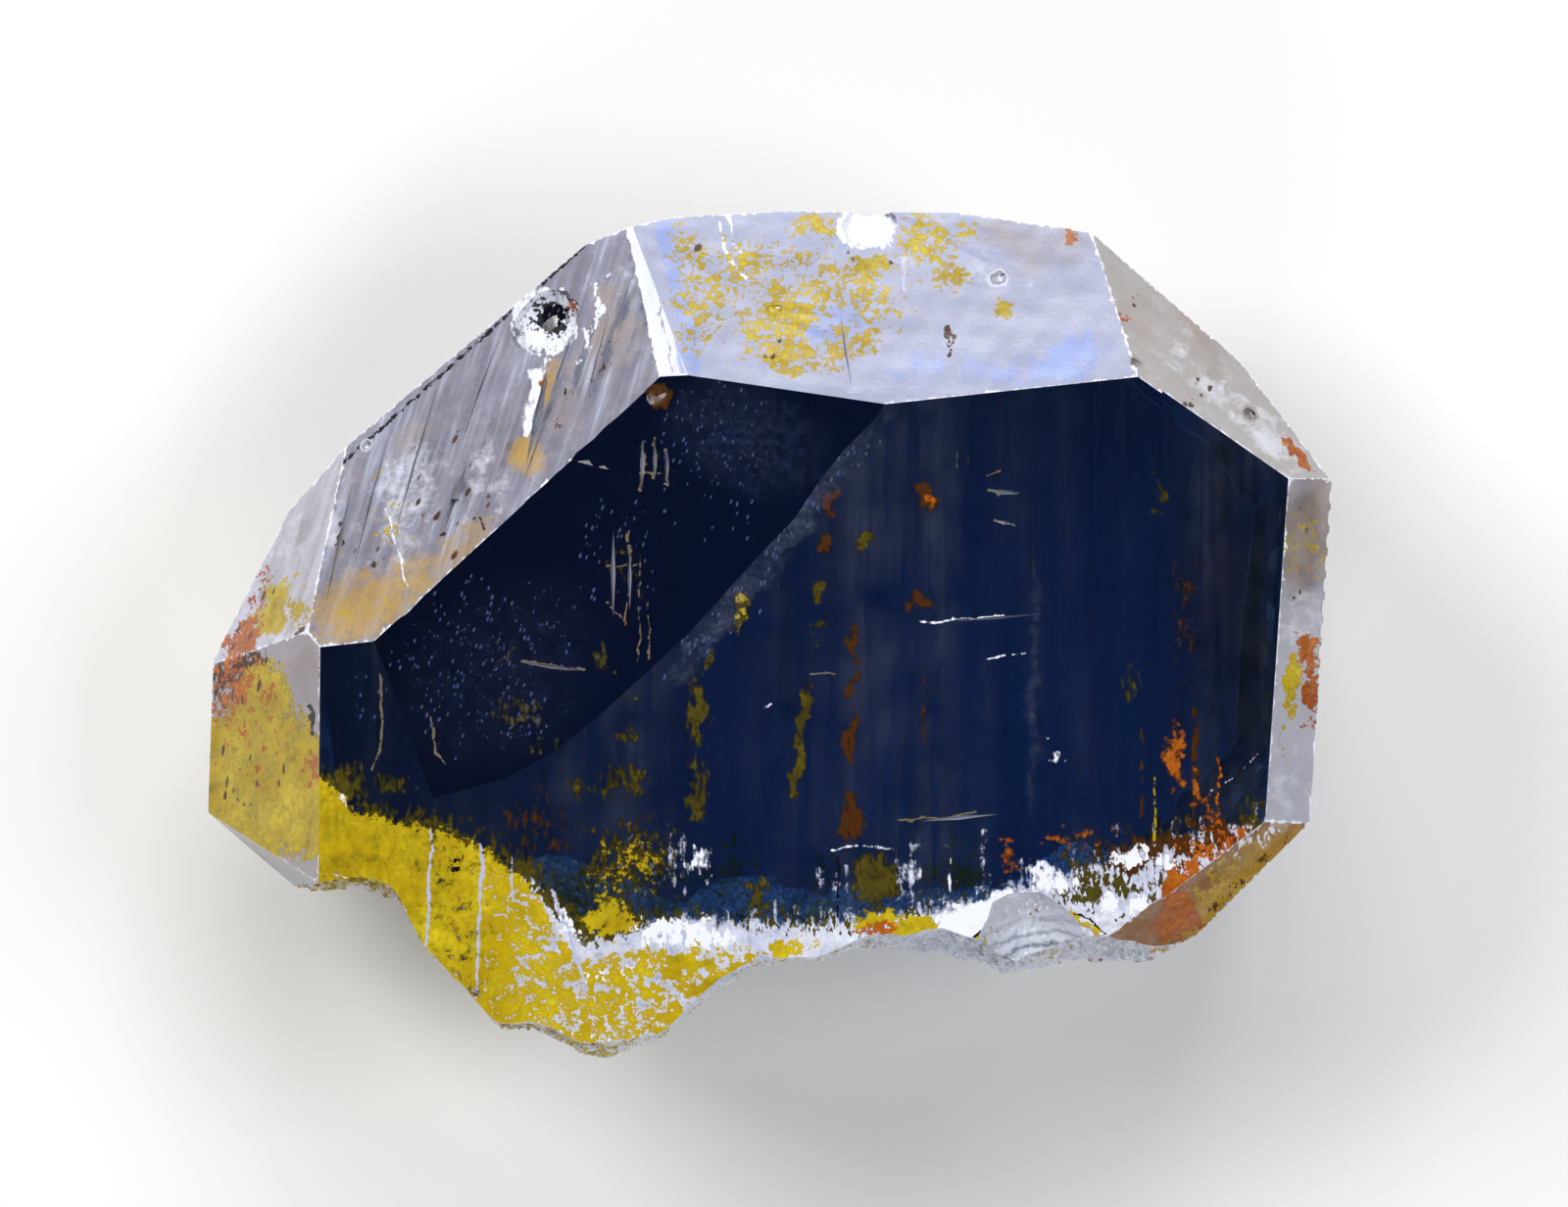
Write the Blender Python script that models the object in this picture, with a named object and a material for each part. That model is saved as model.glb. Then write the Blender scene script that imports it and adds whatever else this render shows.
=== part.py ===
"""A flat-lying quartz crystal, 41 mm long: large flat faces, a tilted facet and a broken lower end.

The crystal lies on its flat back face, with its largest face up. X runs along its length, Y from the
broken lower end to the whole upper end, and Z up, with the back face at zero. All lengths below are
millimetres, and the mesh is made in metres. The body is a block that is cut by one plane for each
face of the crystal. Then the curved facet, the fracture, the pits and the etched marks are cut out.
"""

import math

import bmesh
import bpy
import numpy as np
from mathutils import Vector

MM = 0.001
NAME = "quartz_crystal"

# Overall size of the block that the faces are cut from
HALF_LENGTH = 24.0
HALF_WIDTH = 20.0
THICKNESS = 14.4

# Corners between the faces of the upper side: x, y, z
CORNER = {
    "crest_top": (4.32, 8.42, THICKNESS),
    "top_right": (13.48, 9.41, THICKNESS),
    "shoulder": (18.78, 5.72, THICKNESS),
    "right_low": (17.94, -6.70, THICKNESS),
    "crest_low": (-12.06, -5.87, THICKNESS),
    "facet_left": (-14.26, -0.18, 12.99),
    "facet_top": (-3.67, 9.47, 12.99),
    "facet_corner": (-2.74, 9.50, 13.08),
    "bevel_inner": (-3.67, 9.47, 12.92),
    "bevel_outer": (-4.57, 14.98, 9.00),
    "top_end": (-3.96, 15.16, 8.91),
    "top_far": (11.86, 14.81, 10.37),
    "right_edge": (20.48, 5.72, 13.29),
    "right_edge_low": (20.03, -3.80, 13.16),
    "slope_end": (-5.21, 14.81, 8.94),
    "slope_mid": (-15.88, 5.69, 8.44),
    "slope_low": (-16.92, -0.22, 11.50),
    "left_end": (-20.27, -1.01, 7.53),
    "strip_left": (-16.70, -0.54, 11.82),
    "side_top": (-16.27, -0.58, 12.03),
    "side_mid": (-16.27, -5.44, 12.33),
    "side_left": (-20.52, -3.28, 7.38),
    "foot_left": (-20.48, -6.59, 7.62),
    "foot_inner": (-18.20, -7.90, 10.27),
    "foot_edge": (-18.93, -7.90, 7.56),
    "heel_edge": (19.76, -6.80, 13.21),
    "heel_low": (14.99, -11.59, 12.24),
}

# Each face of the upper side passes through three of the corners
UPPER_FACES = {
    "top": ("crest_top", "top_right", "top_far"),
    "upper_right": ("top_right", "shoulder", "right_edge"),
    "right": ("shoulder", "right_low", "right_edge_low"),
    "heel": ("right_low", "heel_edge", "heel_low"),
    "narrow_bevel": ("facet_corner", "bevel_inner", "bevel_outer"),
    "upper_left": ("facet_left", "facet_top", "slope_end"),
    "left_shoulder": ("slope_mid", "slope_low", "left_end"),
    "strip": ("crest_low", "facet_left", "strip_left"),
    "left_side": ("side_top", "side_mid", "side_left"),
    "foot": ("foot_left", "foot_inner", "foot_edge"),
}

# Stretches of the widest outline: x, y, x, y, dip of the side below it, height and dip of its low bevel
LOWER_FACES = {
    "top_left": (-3.46, 15.39, -6.62, 14.41, 70, 2.2, 42),
    "top_a": (0.65, 15.61, -3.46, 15.39, 73, 2.4, 44),
    "top_b": (7.06, 15.52, 0.65, 15.61, 75, 2.6, 45),
    "top_c": (11.86, 14.81, 7.06, 15.52, 74, 2.2, 44),
    "upper_right_a": (17.32, 10.02, 11.86, 14.81, 81, 1.4, 46),
    "upper_right_b": (20.45, 5.77, 17.32, 10.02, 83, 1.3, 48),
    "right": (19.76, -6.80, 20.56, 5.27, 84, 1.2, 45),
    "heel": (14.99, -11.59, 19.74, -6.79, 80, 1.6, 44),
    "foot": (-20.36, -6.71, -17.37, -9.28, 70, 1.8, 40),
    "left": (-20.42, -1.45, -20.57, -6.11, 70, 1.8, 42),
    "left_shoulder": (-17.63, 4.61, -20.26, -0.62, 68, 1.8, 42),
    "upper_left": (-6.62, 14.41, -17.63, 4.61, 68, 2.0, 40),
}

# The tilted facet: the curved crest where it leaves the largest face, and its straight outer edge
CREST = (
    (-12.06, -5.87),
    (-9.43, -5.15),
    (-7.60, -4.14),
    (-5.90, -2.74),
    (-4.36, -1.33),
    (-2.84, 0.07),
    (-1.44, 1.62),
    (-0.07, 3.13),
    (1.04, 4.28),
    (1.94, 5.65),
    (2.84, 6.77),
    (3.85, 7.78),
    (4.32, 8.42),
)
FACET_OUTER = ((-14.26, -0.18), (-2.74, 9.50))
FACET_DROP = (1.41, 1.32)
FACET_OVERRUN = 1.9
FACET_HEADROOM = 1.5

# Outline of the broken lower end seen from above, from left to right
BROKEN_EDGE = (
    (-18.60, -8.60),
    (-17.37, -9.28),
    (-16.66, -9.49),
    (-15.95, -9.40),
    (-14.99, -9.33),
    (-13.55, -9.87),
    (-13.08, -10.53),
    (-12.60, -11.48),
    (-11.77, -12.31),
    (-10.69, -13.28),
    (-10.33, -14.00),
    (-9.73, -14.53),
    (-8.54, -14.59),
    (-7.59, -14.95),
    (-6.62, -15.62),
    (-5.80, -15.62),
    (-4.68, -15.25),
    (-3.86, -14.89),
    (-2.66, -13.82),
    (-1.66, -13.03),
    (-0.83, -12.56),
    (-0.04, -12.13),
    (2.50, -11.92),
    (3.71, -11.56),
    (6.44, -11.66),
    (7.13, -11.95),
    (7.99, -12.10),
    (8.88, -12.51),
    (11.30, -12.04),
    (14.05, -12.04),
    (14.99, -11.59),
    (16.40, -10.60),
)
# Along the broken end: x, width of the break above the edge, height of the edge, undercut below it
BREAK_FORM = (
    (-18.60, 0.20, 7.4, 2.2),
    (-15.00, 0.25, 7.2, 2.4),
    (-13.00, 0.35, 8.4, 3.4),
    (-10.00, 0.40, 8.0, 5.4),
    (-6.50, 0.45, 6.6, 6.6),
    (-3.00, 0.40, 7.4, 4.4),
    (0.00, 0.35, 8.6, 1.9),
    (4.00, 0.45, 8.8, 1.6),
    (8.00, 0.80, 8.2, 2.6),
    (11.50, 0.90, 7.6, 3.4),
    (14.50, 0.60, 8.6, 4.2),
    (16.40, 0.30, 9.4, 2.6),
)
BREAK_COLUMNS = 92
BREAK_UPPER_ROWS = 12
BREAK_LOWER_ROWS = 12
LEDGE_HEIGHT = 0.18
LEDGES_PER_SWELL = 1.5
TERRACE_FLATTENING = 0.6
BREAK_MARGIN = 3.0
BREAK_REACH = 12.0
BREAK_OVERSHOOT = 0.4
BREAK_FADE_ROWS = 4.0
UPPER_ROUGHNESS = 0.45
# How each side of the break curves: above its edge and below it
BREAK_UPPER_CURVE = 1.35
BREAK_LOWER_CURVE = 1.2
# Shell-shaped scoops that the break is made of: how many, smallest and largest radius, depth
SCOOPS = 46
SCOOP_RADII = (1.7, 3.6)
SCOOP_DEPTH = 0.95
SEED = 17

# Bowl-shaped pits: x, y, radius, depth, number of sides, unevenness
PITS = {
    "round_pit": (-8.10, 11.56, 1.33, 0.95, 22, 0.06),
    "corner_pit": (-3.89, 8.71, 0.56, 0.34, 14, 0.10),
    "edge_chip": (3.70, 15.05, 0.98, 0.52, 16, 0.16),
    "shell_break": (9.65, -11.30, 2.05, 1.00, 22, 0.08),
    "small_pit_a": (-14.70, 7.02, 0.22, 0.14, 9, 0.15),
    "small_pit_b": (13.40, 9.95, 0.20, 0.12, 9, 0.15),
    "small_pit_c": (17.60, 8.10, 0.26, 0.16, 9, 0.15),
    "small_pit_d": (8.45, 13.10, 0.30, 0.15, 9, 0.20),
    "small_pit_e": (0.30, 11.90, 0.32, 0.14, 9, 0.20),
}
PIT_RINGS = 5
PIT_RIM_LIFT = 0.6

# Grooves of growth on the upper left slope: x and y of both ends, width, depth
SLOPE_GROOVES = (
    (-6.30, 13.50, -8.90, 5.40, 0.34, 0.13),
    (-8.00, 9.90, -8.75, 6.20, 0.42, 0.18),
    (-10.98, 6.26, -11.75, 3.75, 0.34, 0.30),
    (-9.85, 10.90, -11.20, 6.90, 0.26, 0.11),
    (-12.10, 9.10, -13.60, 3.60, 0.32, 0.12),
    (-13.90, 7.30, -15.10, 2.40, 0.26, 0.10),
    (-5.75, 11.80, -6.60, 8.40, 0.24, 0.10),
    (-15.20, 5.60, -16.10, 1.20, 0.22, 0.10),
)
# Etched strokes on the largest face and on the tilted facet
FACE_STROKES = (
    (-4.50, 7.15, -4.50, 5.30, 0.16, 0.10),
    (-4.05, 7.20, -4.05, 5.60, 0.14, 0.09),
    (-3.60, 6.90, -3.60, 5.45, 0.14, 0.09),
    (-5.55, 3.95, -5.55, 0.60, 0.16, 0.10),
    (-4.95, 3.30, -4.95, 0.90, 0.14, 0.09),
    (-8.90, -0.95, -6.60, -1.25, 0.16, 0.10),
    (8.10, 5.30, 9.10, 5.15, 0.16, 0.08),
    (8.30, 4.20, 8.95, 4.05, 0.14, 0.08),
    (6.80, 0.55, 9.80, 0.80, 0.10, 0.07),
    (5.60, -6.70, 8.40, -6.45, 0.14, 0.08),
    (3.10, 9.10, 2.70, 11.90, 0.16, 0.08),
)
GROOVE_OVERLAP = 0.35

# Bites along the sharp right edge: y, radius
EDGE_BITES = (
    (5.05, 0.42),
    (4.30, 0.50),
    (3.45, 0.46),
    (2.62, 0.52),
    (1.85, 0.44),
    (1.02, 0.50),
    (0.20, 0.46),
    (-0.62, 0.40),
)
BITE_SIDES = 12
BITE_DEPTH = 0.13
BITE_HALF_HEIGHT = 0.85
# Height and width of the lens's rings, as shares of its half height and its radius
BITE_LEVELS = ((-1.0, 0.55), (-0.4, 0.95), (0.4, 1.0), (1.0, 0.8))

# Long growth steps sunk into the back, which run across the crystal: x, half width, y, y, depth
BACK_STEPS = (
    (-7.9, 0.50, -5.5, 9.5, 0.16),
    (-3.2, 0.32, -7.5, 4.0, 0.12),
    (1.6, 0.85, -3.0, 12.5, 0.20),
    (5.7, 0.30, -8.0, 7.0, 0.12),
    (9.5, 0.62, -7.5, 3.5, 0.16),
    (12.3, 0.28, -4.5, 10.5, 0.12),
    (15.1, 0.45, -6.0, 5.0, 0.16),
)

# Low terrace at the right end of the largest face: x of its step, depth
END_TERRACE_X = 14.35
END_TERRACE_DEPTH = 0.10

# The quartz, seen from a step away: dark blue-grey, glossy and clear
COLOUR = (0.055, 0.085, 0.150, 1.0)
ROUGHNESS = 0.06
REFRACTIVE_INDEX = 1.545
TRANSMISSION = 0.6


def clear_scene():
    """Removes every object of the scene."""
    for obj in list(bpy.data.objects):
        bpy.data.objects.remove(obj, do_unlink=True)


def mesh_object(name, points, faces):
    """An object at the origin from points in millimetres and lists of corner numbers."""
    mesh = bpy.data.meshes.new(name)
    mesh.from_pydata([tuple(float(c) * MM for c in p) for p in points], [], [list(f) for f in faces])
    mesh.validate()
    obj = bpy.data.objects.new(name, mesh)
    bpy.context.scene.collection.objects.link(obj)
    shape = bmesh.new()
    shape.from_mesh(mesh)
    bmesh.ops.recalc_face_normals(shape, faces=shape.faces)
    shape.to_mesh(mesh)
    shape.free()
    return obj


def plane_height(face, x, y):
    """Height of an upper face's plane above the point x, y."""
    a, b, c = (Vector(CORNER[name]) for name in UPPER_FACES[face])
    normal = (b - a).cross(c - a)
    return a.z - (normal.x * (x - a.x) + normal.y * (y - a.y)) / normal.z


def upper_height(x, y):
    """Height of the crystal's upper side at x, y, without the tilted facet."""
    return min([THICKNESS] + [plane_height(face, x, y) for face in UPPER_FACES])


def cut_flat(shape, point, normal):
    """Cuts away what lies on the normal's side of a plane and closes the cut with one flat face."""
    geometry = list(shape.verts) + list(shape.edges) + list(shape.faces)
    cut = bmesh.ops.bisect_plane(
        shape, geom=geometry, dist=1e-9, plane_co=point, plane_no=normal, clear_outer=True
    )
    rim = [item for item in cut["geom_cut"] if isinstance(item, bmesh.types.BMEdge)]
    if len(rim) > 2:
        bmesh.ops.contextual_create(shape, geom=rim)


def lower_planes(edge):
    """The two planes, as a point and a normal each, below one stretch of the widest outline."""
    x0, y0, x1, y1, dip, break_height, low_dip = edge
    first = Vector((x0, y0, upper_height(x0, y0)))
    second = Vector((x1, y1, upper_height(x1, y1)))
    along = (second - first).normalized()
    outward = Vector((along.y, -along.x, 0.0)).normalized()
    middle = (first + second) / 2
    if outward.dot(Vector((middle.x, middle.y, 0.0))) < 0:
        outward = -outward
    steep = math.radians(dip)
    down = -outward * math.cos(steep) - Vector((0, 0, math.sin(steep)))
    normal = along.cross(down)
    if normal.dot(outward) < 0:
        normal = -normal
    run = (middle.z - break_height) / math.sin(steep)
    bend = middle + down * run
    shallow = math.radians(low_dip)
    low_normal = outward * math.sin(shallow) - Vector((0, 0, math.cos(shallow)))
    return (middle, normal.normalized()), (bend, low_normal)


def crystal_block():
    """The whole crystal before it broke: a block cut by the plane of each face."""
    shape = bmesh.new()
    bmesh.ops.create_cube(shape, size=2.0)
    for vert in shape.verts:
        vert.co.x *= HALF_LENGTH
        vert.co.y *= HALF_WIDTH
        vert.co.z = THICKNESS if vert.co.z > 0 else 0.0
    for names in UPPER_FACES.values():
        a, b, c = (Vector(CORNER[name]) for name in names)
        normal = (b - a).cross(c - a).normalized()
        cut_flat(shape, a, normal if normal.z > 0 else -normal)
    for edge in LOWER_FACES.values():
        for point, normal in lower_planes(edge):
            cut_flat(shape, point, normal)
    bmesh.ops.remove_doubles(shape, verts=shape.verts, dist=1e-4)
    bmesh.ops.recalc_face_normals(shape, faces=shape.faces)
    for vert in shape.verts:
        vert.co *= MM
    mesh = bpy.data.meshes.new(NAME)
    shape.to_mesh(mesh)
    shape.free()
    obj = bpy.data.objects.new(NAME, mesh)
    bpy.context.scene.collection.objects.link(obj)
    return obj


def grid_faces(rows, columns):
    """Corner numbers of the four-sided faces of a grid stored row by row."""
    first = np.arange(rows - 1)[:, None] * columns + np.arange(columns - 1)[None, :]
    quads = np.stack([first, first + 1, first + columns + 1, first + columns], axis=-1)
    return quads.reshape(-1, 4).tolist()


def ring_faces(rows, sides):
    """Corner numbers of the faces of a closed lantern: stacked rings with both ends capped."""
    faces = []
    for start in range(0, (rows - 1) * sides, sides):
        for i in range(sides):
            j = (i + 1) % sides
            faces.append((start + i, start + j, start + sides + j, start + sides + i))
    faces.append(tuple(range(sides)))
    faces.append(tuple(reversed(range((rows - 1) * sides, rows * sides))))
    return faces


def facet_cutter():
    """Everything above the tilted facet, whose surface is ruled from the crest to its outer edge."""
    crest = np.array(CREST)
    span = np.linspace(0.0, 1.0, len(crest))[:, None]
    outer = np.array(FACET_OUTER[0]) * (1 - span) + np.array(FACET_OUTER[1]) * span
    drop = FACET_DROP[0] * (1 - span) + FACET_DROP[1] * span
    beyond = crest + (outer - crest) * FACET_OVERRUN
    level = np.full_like(span, THICKNESS)
    inner = np.hstack([crest, level])
    far = np.hstack([beyond, level - drop * FACET_OVERRUN])
    lifted = np.hstack([beyond, level + FACET_HEADROOM])
    top = np.hstack([crest, level + FACET_HEADROOM])
    ring = np.concatenate([inner, far, lifted, top])
    count = len(crest)
    faces = []
    for row in range(4):
        a, b = row * count, ((row + 1) % 4) * count
        faces += [(a + i, a + i + 1, b + i + 1, b + i) for i in range(count - 1)]
    faces.append(tuple(row * count for row in range(4)))
    faces.append(tuple(row * count + count - 1 for row in reversed(range(4))))
    return mesh_object("facet_cutter", ring, faces)


def waves(x, y, random, count, shortest, longest):
    """Smooth unevenness between about -1 and 1: a sum of sine waves in random directions."""
    total = np.zeros_like(x)
    for _ in range(count):
        length = random.uniform(shortest, longest)
        turn = random.uniform(0, 2 * math.pi)
        phase = random.uniform(0, 2 * math.pi)
        total = total + np.sin(2 * math.pi * (x * math.cos(turn) + y * math.sin(turn)) / length + phase)
    return total / math.sqrt(count)


def scoops(x, z, random):
    """Shell-shaped breaks: at each point the lowest of many bowls, so that sharp ridges part them."""
    ridge = np.ones_like(x)
    for _ in range(SCOOPS):
        centre_x = random.uniform(x.min(), x.max())
        centre_z = random.uniform(-1.0, THICKNESS + 1.0)
        radius = random.uniform(*SCOOP_RADII)
        ridge = np.minimum(ridge, ((x - centre_x) ** 2 + (z - centre_z) ** 2) / radius**2)
    return ridge


def break_cutter():
    """Everything beyond the break: a rough sheet over the lower end, from above down to below it."""
    random = np.random.default_rng(SEED)
    edge = np.array(BROKEN_EDGE)
    form = np.array(BREAK_FORM)
    x = np.linspace(edge[0, 0], edge[-1, 0], BREAK_COLUMNS)
    edge_y = np.interp(x, edge[:, 0], edge[:, 1])
    width, height, undercut = (np.interp(x, form[:, 0], form[:, i]) for i in (1, 2, 3))
    above = np.linspace(0.0, 1.0, BREAK_UPPER_ROWS)[:, None]
    below = np.linspace(0.0, 1.0, BREAK_LOWER_ROWS)[1:, None]
    top = THICKNESS + BREAK_OVERSHOOT
    upper_y = edge_y + width * (1 - above)
    upper_z = top + (height - top) * above**BREAK_UPPER_CURVE
    lower_y = edge_y + undercut * below**BREAK_LOWER_CURVE
    lower_z = height - (height + BREAK_OVERSHOOT) * below
    y = np.concatenate([upper_y, lower_y])
    z = np.concatenate([upper_z, lower_z])
    rows = len(y)
    across = np.broadcast_to(x, y.shape)
    shells = SCOOP_DEPTH * (1 - scoops(across, z, random))
    swell = waves(across, TERRACE_FLATTENING * z, random, 5, 4.0, 9.0)
    ledges = LEDGE_HEIGHT * np.abs(np.floor(swell * LEDGES_PER_SWELL))
    # The outline seen from above stays, so the roughness fades at the widest row and the two ends.
    # Towards the largest face it is a small share, because the break starts steeply there.
    away = (np.arange(rows)[:, None] - (BREAK_UPPER_ROWS - 1)) / BREAK_FADE_ROWS
    fade = np.where(away < 0, UPPER_ROUGHNESS * np.clip(-away, 0, 1), np.clip(away, 0, 1))
    ends = np.clip(np.minimum(x - x[0], x[-1] - x) / BREAK_MARGIN, 0.0, 1.0)
    y = y + (shells + ledges) * fade * ends
    sheet = np.stack([across, y, z], axis=-1)
    far_y = np.full_like(x, -HALF_WIDTH - BREAK_REACH)
    far_low = np.stack([x, far_y, np.full_like(x, -BREAK_OVERSHOOT)], axis=-1)
    far_high = np.stack([x, far_y, np.full_like(x, top)], axis=-1)
    ring = np.concatenate([sheet, far_low[None], far_high[None]])
    total = rows + 2
    faces = grid_faces(total, BREAK_COLUMNS)
    last = (total - 1) * BREAK_COLUMNS
    faces += [(last + i, last + i + 1, i + 1, i) for i in range(BREAK_COLUMNS - 1)]
    faces.append(tuple(row * BREAK_COLUMNS for row in range(total)))
    faces.append(tuple(row * BREAK_COLUMNS + BREAK_COLUMNS - 1 for row in reversed(range(total))))
    return mesh_object("break_cutter", ring.reshape(-1, 3), faces)


def face_frame(x, y):
    """Point on the upper side at x, y, with two directions along the face there and its normal."""
    step = 0.05
    z = upper_height(x, y)
    along = Vector((step, 0, upper_height(x + step, y) - z)).normalized()
    across = Vector((0, step, upper_height(x, y + step) - z)).normalized()
    normal = along.cross(across).normalized()
    return Vector((x, y, z)), along, normal.cross(along), normal


def pit_cutter(name, random):
    """A bowl with uneven sides: rings that narrow as they go down, closed above the face."""
    x, y, radius, depth, sides, uneven = PITS[name]
    centre, along, across, normal = face_frame(x, y)
    turn = np.linspace(0, 2 * math.pi, sides, endpoint=False)
    wobble = 1 + uneven * random.uniform(-1, 1, sides)
    points = []
    levels = [(1.12, PIT_RIM_LIFT)]
    levels += [(math.cos(t), -depth * math.sin(t)) for t in np.linspace(0, 1.35, PIT_RINGS)]
    for scale, height in levels:
        jitter = wobble * (1 + 0.4 * uneven * random.uniform(-1, 1, sides))
        for angle, size in zip(turn, jitter):
            flat = along * math.cos(angle) + across * math.sin(angle)
            points.append(centre + flat * (radius * scale * size) + normal * height)
    return mesh_object(name, points, ring_faces(len(levels), sides))


def groove_cutter(name, stroke, height_of):
    """A narrow V-shaped groove between two points of a face, running out at both ends."""
    x0, y0, x1, y1, width, depth = stroke
    start = Vector((x0, y0, height_of(x0, y0)))
    end = Vector((x1, y1, height_of(x1, y1)))
    along = (end - start).normalized()
    side = along.cross(Vector((0, 0, 1))).normalized()
    normal = side.cross(along).normalized()
    half = side * (width / 2)
    middle = (start + end) / 2
    sunk = normal * -depth
    lift = normal * GROOVE_OVERLAP
    points = [start, end]
    points += [middle + half, middle - half, middle + sunk]
    points += [point + lift for point in points[:4]]
    faces = [(0, 2, 4), (2, 1, 4), (1, 3, 4), (3, 0, 4)]
    faces += [(0, 5, 7, 2), (2, 7, 6, 1), (1, 6, 8, 3), (3, 8, 5, 0), (5, 8, 6, 7)]
    return mesh_object(name, points, faces)


def facet_height(x, y):
    """Height of the tilted facet's surface near x, y, or of the largest face beyond its crest."""
    crest = np.array(CREST)
    outer = np.array(FACET_OUTER)
    along = (outer[1] - outer[0]) / np.linalg.norm(outer[1] - outer[0])
    normal = np.array([along[1], -along[0]])
    reach = (np.array([x, y]) - outer[0]) @ normal
    place = (crest - outer[0]) @ along
    depth = (crest - outer[0]) @ normal
    full = np.interp((np.array([x, y]) - outer[0]) @ along, place, depth)
    return THICKNESS - FACET_DROP[0] * max(0.0, 1 - reach / full)


def box_cutter(name, corners, low, high):
    """An upright prism over a four-sided outline."""
    points = [(x, y, low) for x, y in corners] + [(x, y, high) for x, y in corners]
    faces = [(0, 1, 2, 3), (4, 7, 6, 5)]
    faces += [(i, i + 4, (i + 1) % 4 + 4, (i + 1) % 4) for i in range(4)]
    return mesh_object(name, points, faces)


def bite_cutter(name, y, radius):
    """A small upright lens that bites into the sharp right edge."""
    x0, y0, x1, y1 = LOWER_FACES["right"][:4]
    edge_x = x0 + (x1 - x0) * (y - y0) / (y1 - y0)
    centre = Vector((edge_x + radius - BITE_DEPTH, y, upper_height(edge_x, y)))
    points = []
    sides = BITE_SIDES
    for height, scale in BITE_LEVELS:
        for i in range(sides):
            angle = 2 * math.pi * i / sides
            flat = Vector((math.cos(angle), math.sin(angle), 0)) * radius * scale
            points.append(centre + flat + Vector((0, 0, height * BITE_HALF_HEIGHT)))
    return mesh_object(name, points, ring_faces(len(BITE_LEVELS), sides))


def mark_cutters():
    """All the small cutters: pits, grooves, strokes, bites and low terraces."""
    random = np.random.default_rng(SEED + 1)
    made = [pit_cutter(name, random) for name in PITS]
    made += [groove_cutter(f"groove_{i}", g, upper_height) for i, g in enumerate(SLOPE_GROOVES)]
    for i, stroke in enumerate(FACE_STROKES):
        height_of = facet_height if stroke[1] < 9.0 else upper_height
        made.append(groove_cutter(f"stroke_{i}", stroke, height_of))
    made += [bite_cutter(f"bite_{i}", y, radius) for i, (y, radius) in enumerate(EDGE_BITES)]
    for i, (x, half, low, high, depth) in enumerate(BACK_STEPS):
        # The ends taper to a slanted tip, as growth steps run out
        corners = ((x - half, low), (x + half, low + 4 * half), (x + half, high), (x - half, high - 5 * half))
        made.append(box_cutter(f"step_{i}", corners, -1.0, depth))
    near, far, half = END_TERRACE_X, HALF_LENGTH, HALF_WIDTH
    corners = ((near, -half), (far, -half), (far, half), (near, half))
    low = THICKNESS - END_TERRACE_DEPTH
    made.append(box_cutter("end_terrace", corners, low, THICKNESS + 1.0))
    return made


def take_away(obj, name, cutters):
    """Subtracts a group of cutters, which stay in the file as hidden helpers."""
    group = bpy.data.collections.new(name)
    bpy.context.scene.collection.children.link(group)
    for cutter in cutters:
        bpy.context.scene.collection.objects.unlink(cutter)
        group.objects.link(cutter)
        cutter.hide_render = True
        cutter.display_type = "WIRE"
    modifier = obj.modifiers.new(name, "BOOLEAN")
    modifier.operation = "DIFFERENCE"
    modifier.solver = "EXACT"
    modifier.operand_type = "COLLECTION"
    modifier.collection = group


def quartz_material():
    """Clear quartz that looks dark blue-grey where it is thick."""
    material = bpy.data.materials.new("quartz")
    material.use_nodes = True
    shader = next(node for node in material.node_tree.nodes if node.type == "BSDF_PRINCIPLED")
    shader.inputs["Base Color"].default_value = COLOUR
    shader.inputs["Roughness"].default_value = ROUGHNESS
    shader.inputs["Metallic"].default_value = 0.0
    shader.inputs["IOR"].default_value = REFRACTIVE_INDEX
    shader.inputs["Transmission Weight"].default_value = TRANSMISSION
    return material


def main():
    clear_scene()
    crystal = crystal_block()
    take_away(crystal, "tilted_facet", [facet_cutter()])
    take_away(crystal, "broken_end", [break_cutter()])
    take_away(crystal, "marks", mark_cutters())
    crystal.data.materials.append(quartz_material())


main()
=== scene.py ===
"""A quartz crystal that lies on its flat back, with its largest face up, seen from straight above.

The crystal's solid gives every face and edge. The operator for the crystal fills each flat face with a
fine net of points, gives it the low relief that quartz grows and etches, and marks on it where the
surface is etched matt, stained by iron or broken, with painted highlights and painted shade. The stage
is a pale floor with soft studio light.
"""

import math
from functools import partial

import bmesh
import bpy
import numpy as np
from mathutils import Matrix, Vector
from mathutils.geometry import delaunay_2d_cdt


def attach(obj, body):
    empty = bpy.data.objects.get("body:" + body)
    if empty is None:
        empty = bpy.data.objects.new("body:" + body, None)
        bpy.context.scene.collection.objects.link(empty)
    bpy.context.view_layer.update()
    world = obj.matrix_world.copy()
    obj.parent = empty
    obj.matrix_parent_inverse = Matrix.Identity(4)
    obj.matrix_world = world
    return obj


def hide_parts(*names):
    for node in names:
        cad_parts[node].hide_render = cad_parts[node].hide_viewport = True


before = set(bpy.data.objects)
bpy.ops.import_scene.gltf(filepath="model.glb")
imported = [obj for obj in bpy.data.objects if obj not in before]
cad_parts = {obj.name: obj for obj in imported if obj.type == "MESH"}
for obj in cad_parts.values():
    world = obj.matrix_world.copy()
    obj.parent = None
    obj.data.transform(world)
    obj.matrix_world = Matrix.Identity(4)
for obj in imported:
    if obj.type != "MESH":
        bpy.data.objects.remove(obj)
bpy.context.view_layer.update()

bl_info = {
    "name": "Quartz crystal",
    "version": (1, 0, 0),
    "blender": (4, 5, 0),
    "location": "3D View > Sidebar > Quartz",
    "description": "A clear quartz crystal with etched faces, iron stains and a broken end",
    "category": "Add Mesh",
}

NODE = "quartz_crystal"
MM = 0.001
# Level of the largest face, in millimetres
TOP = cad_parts[NODE].dimensions.z / MM

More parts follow.
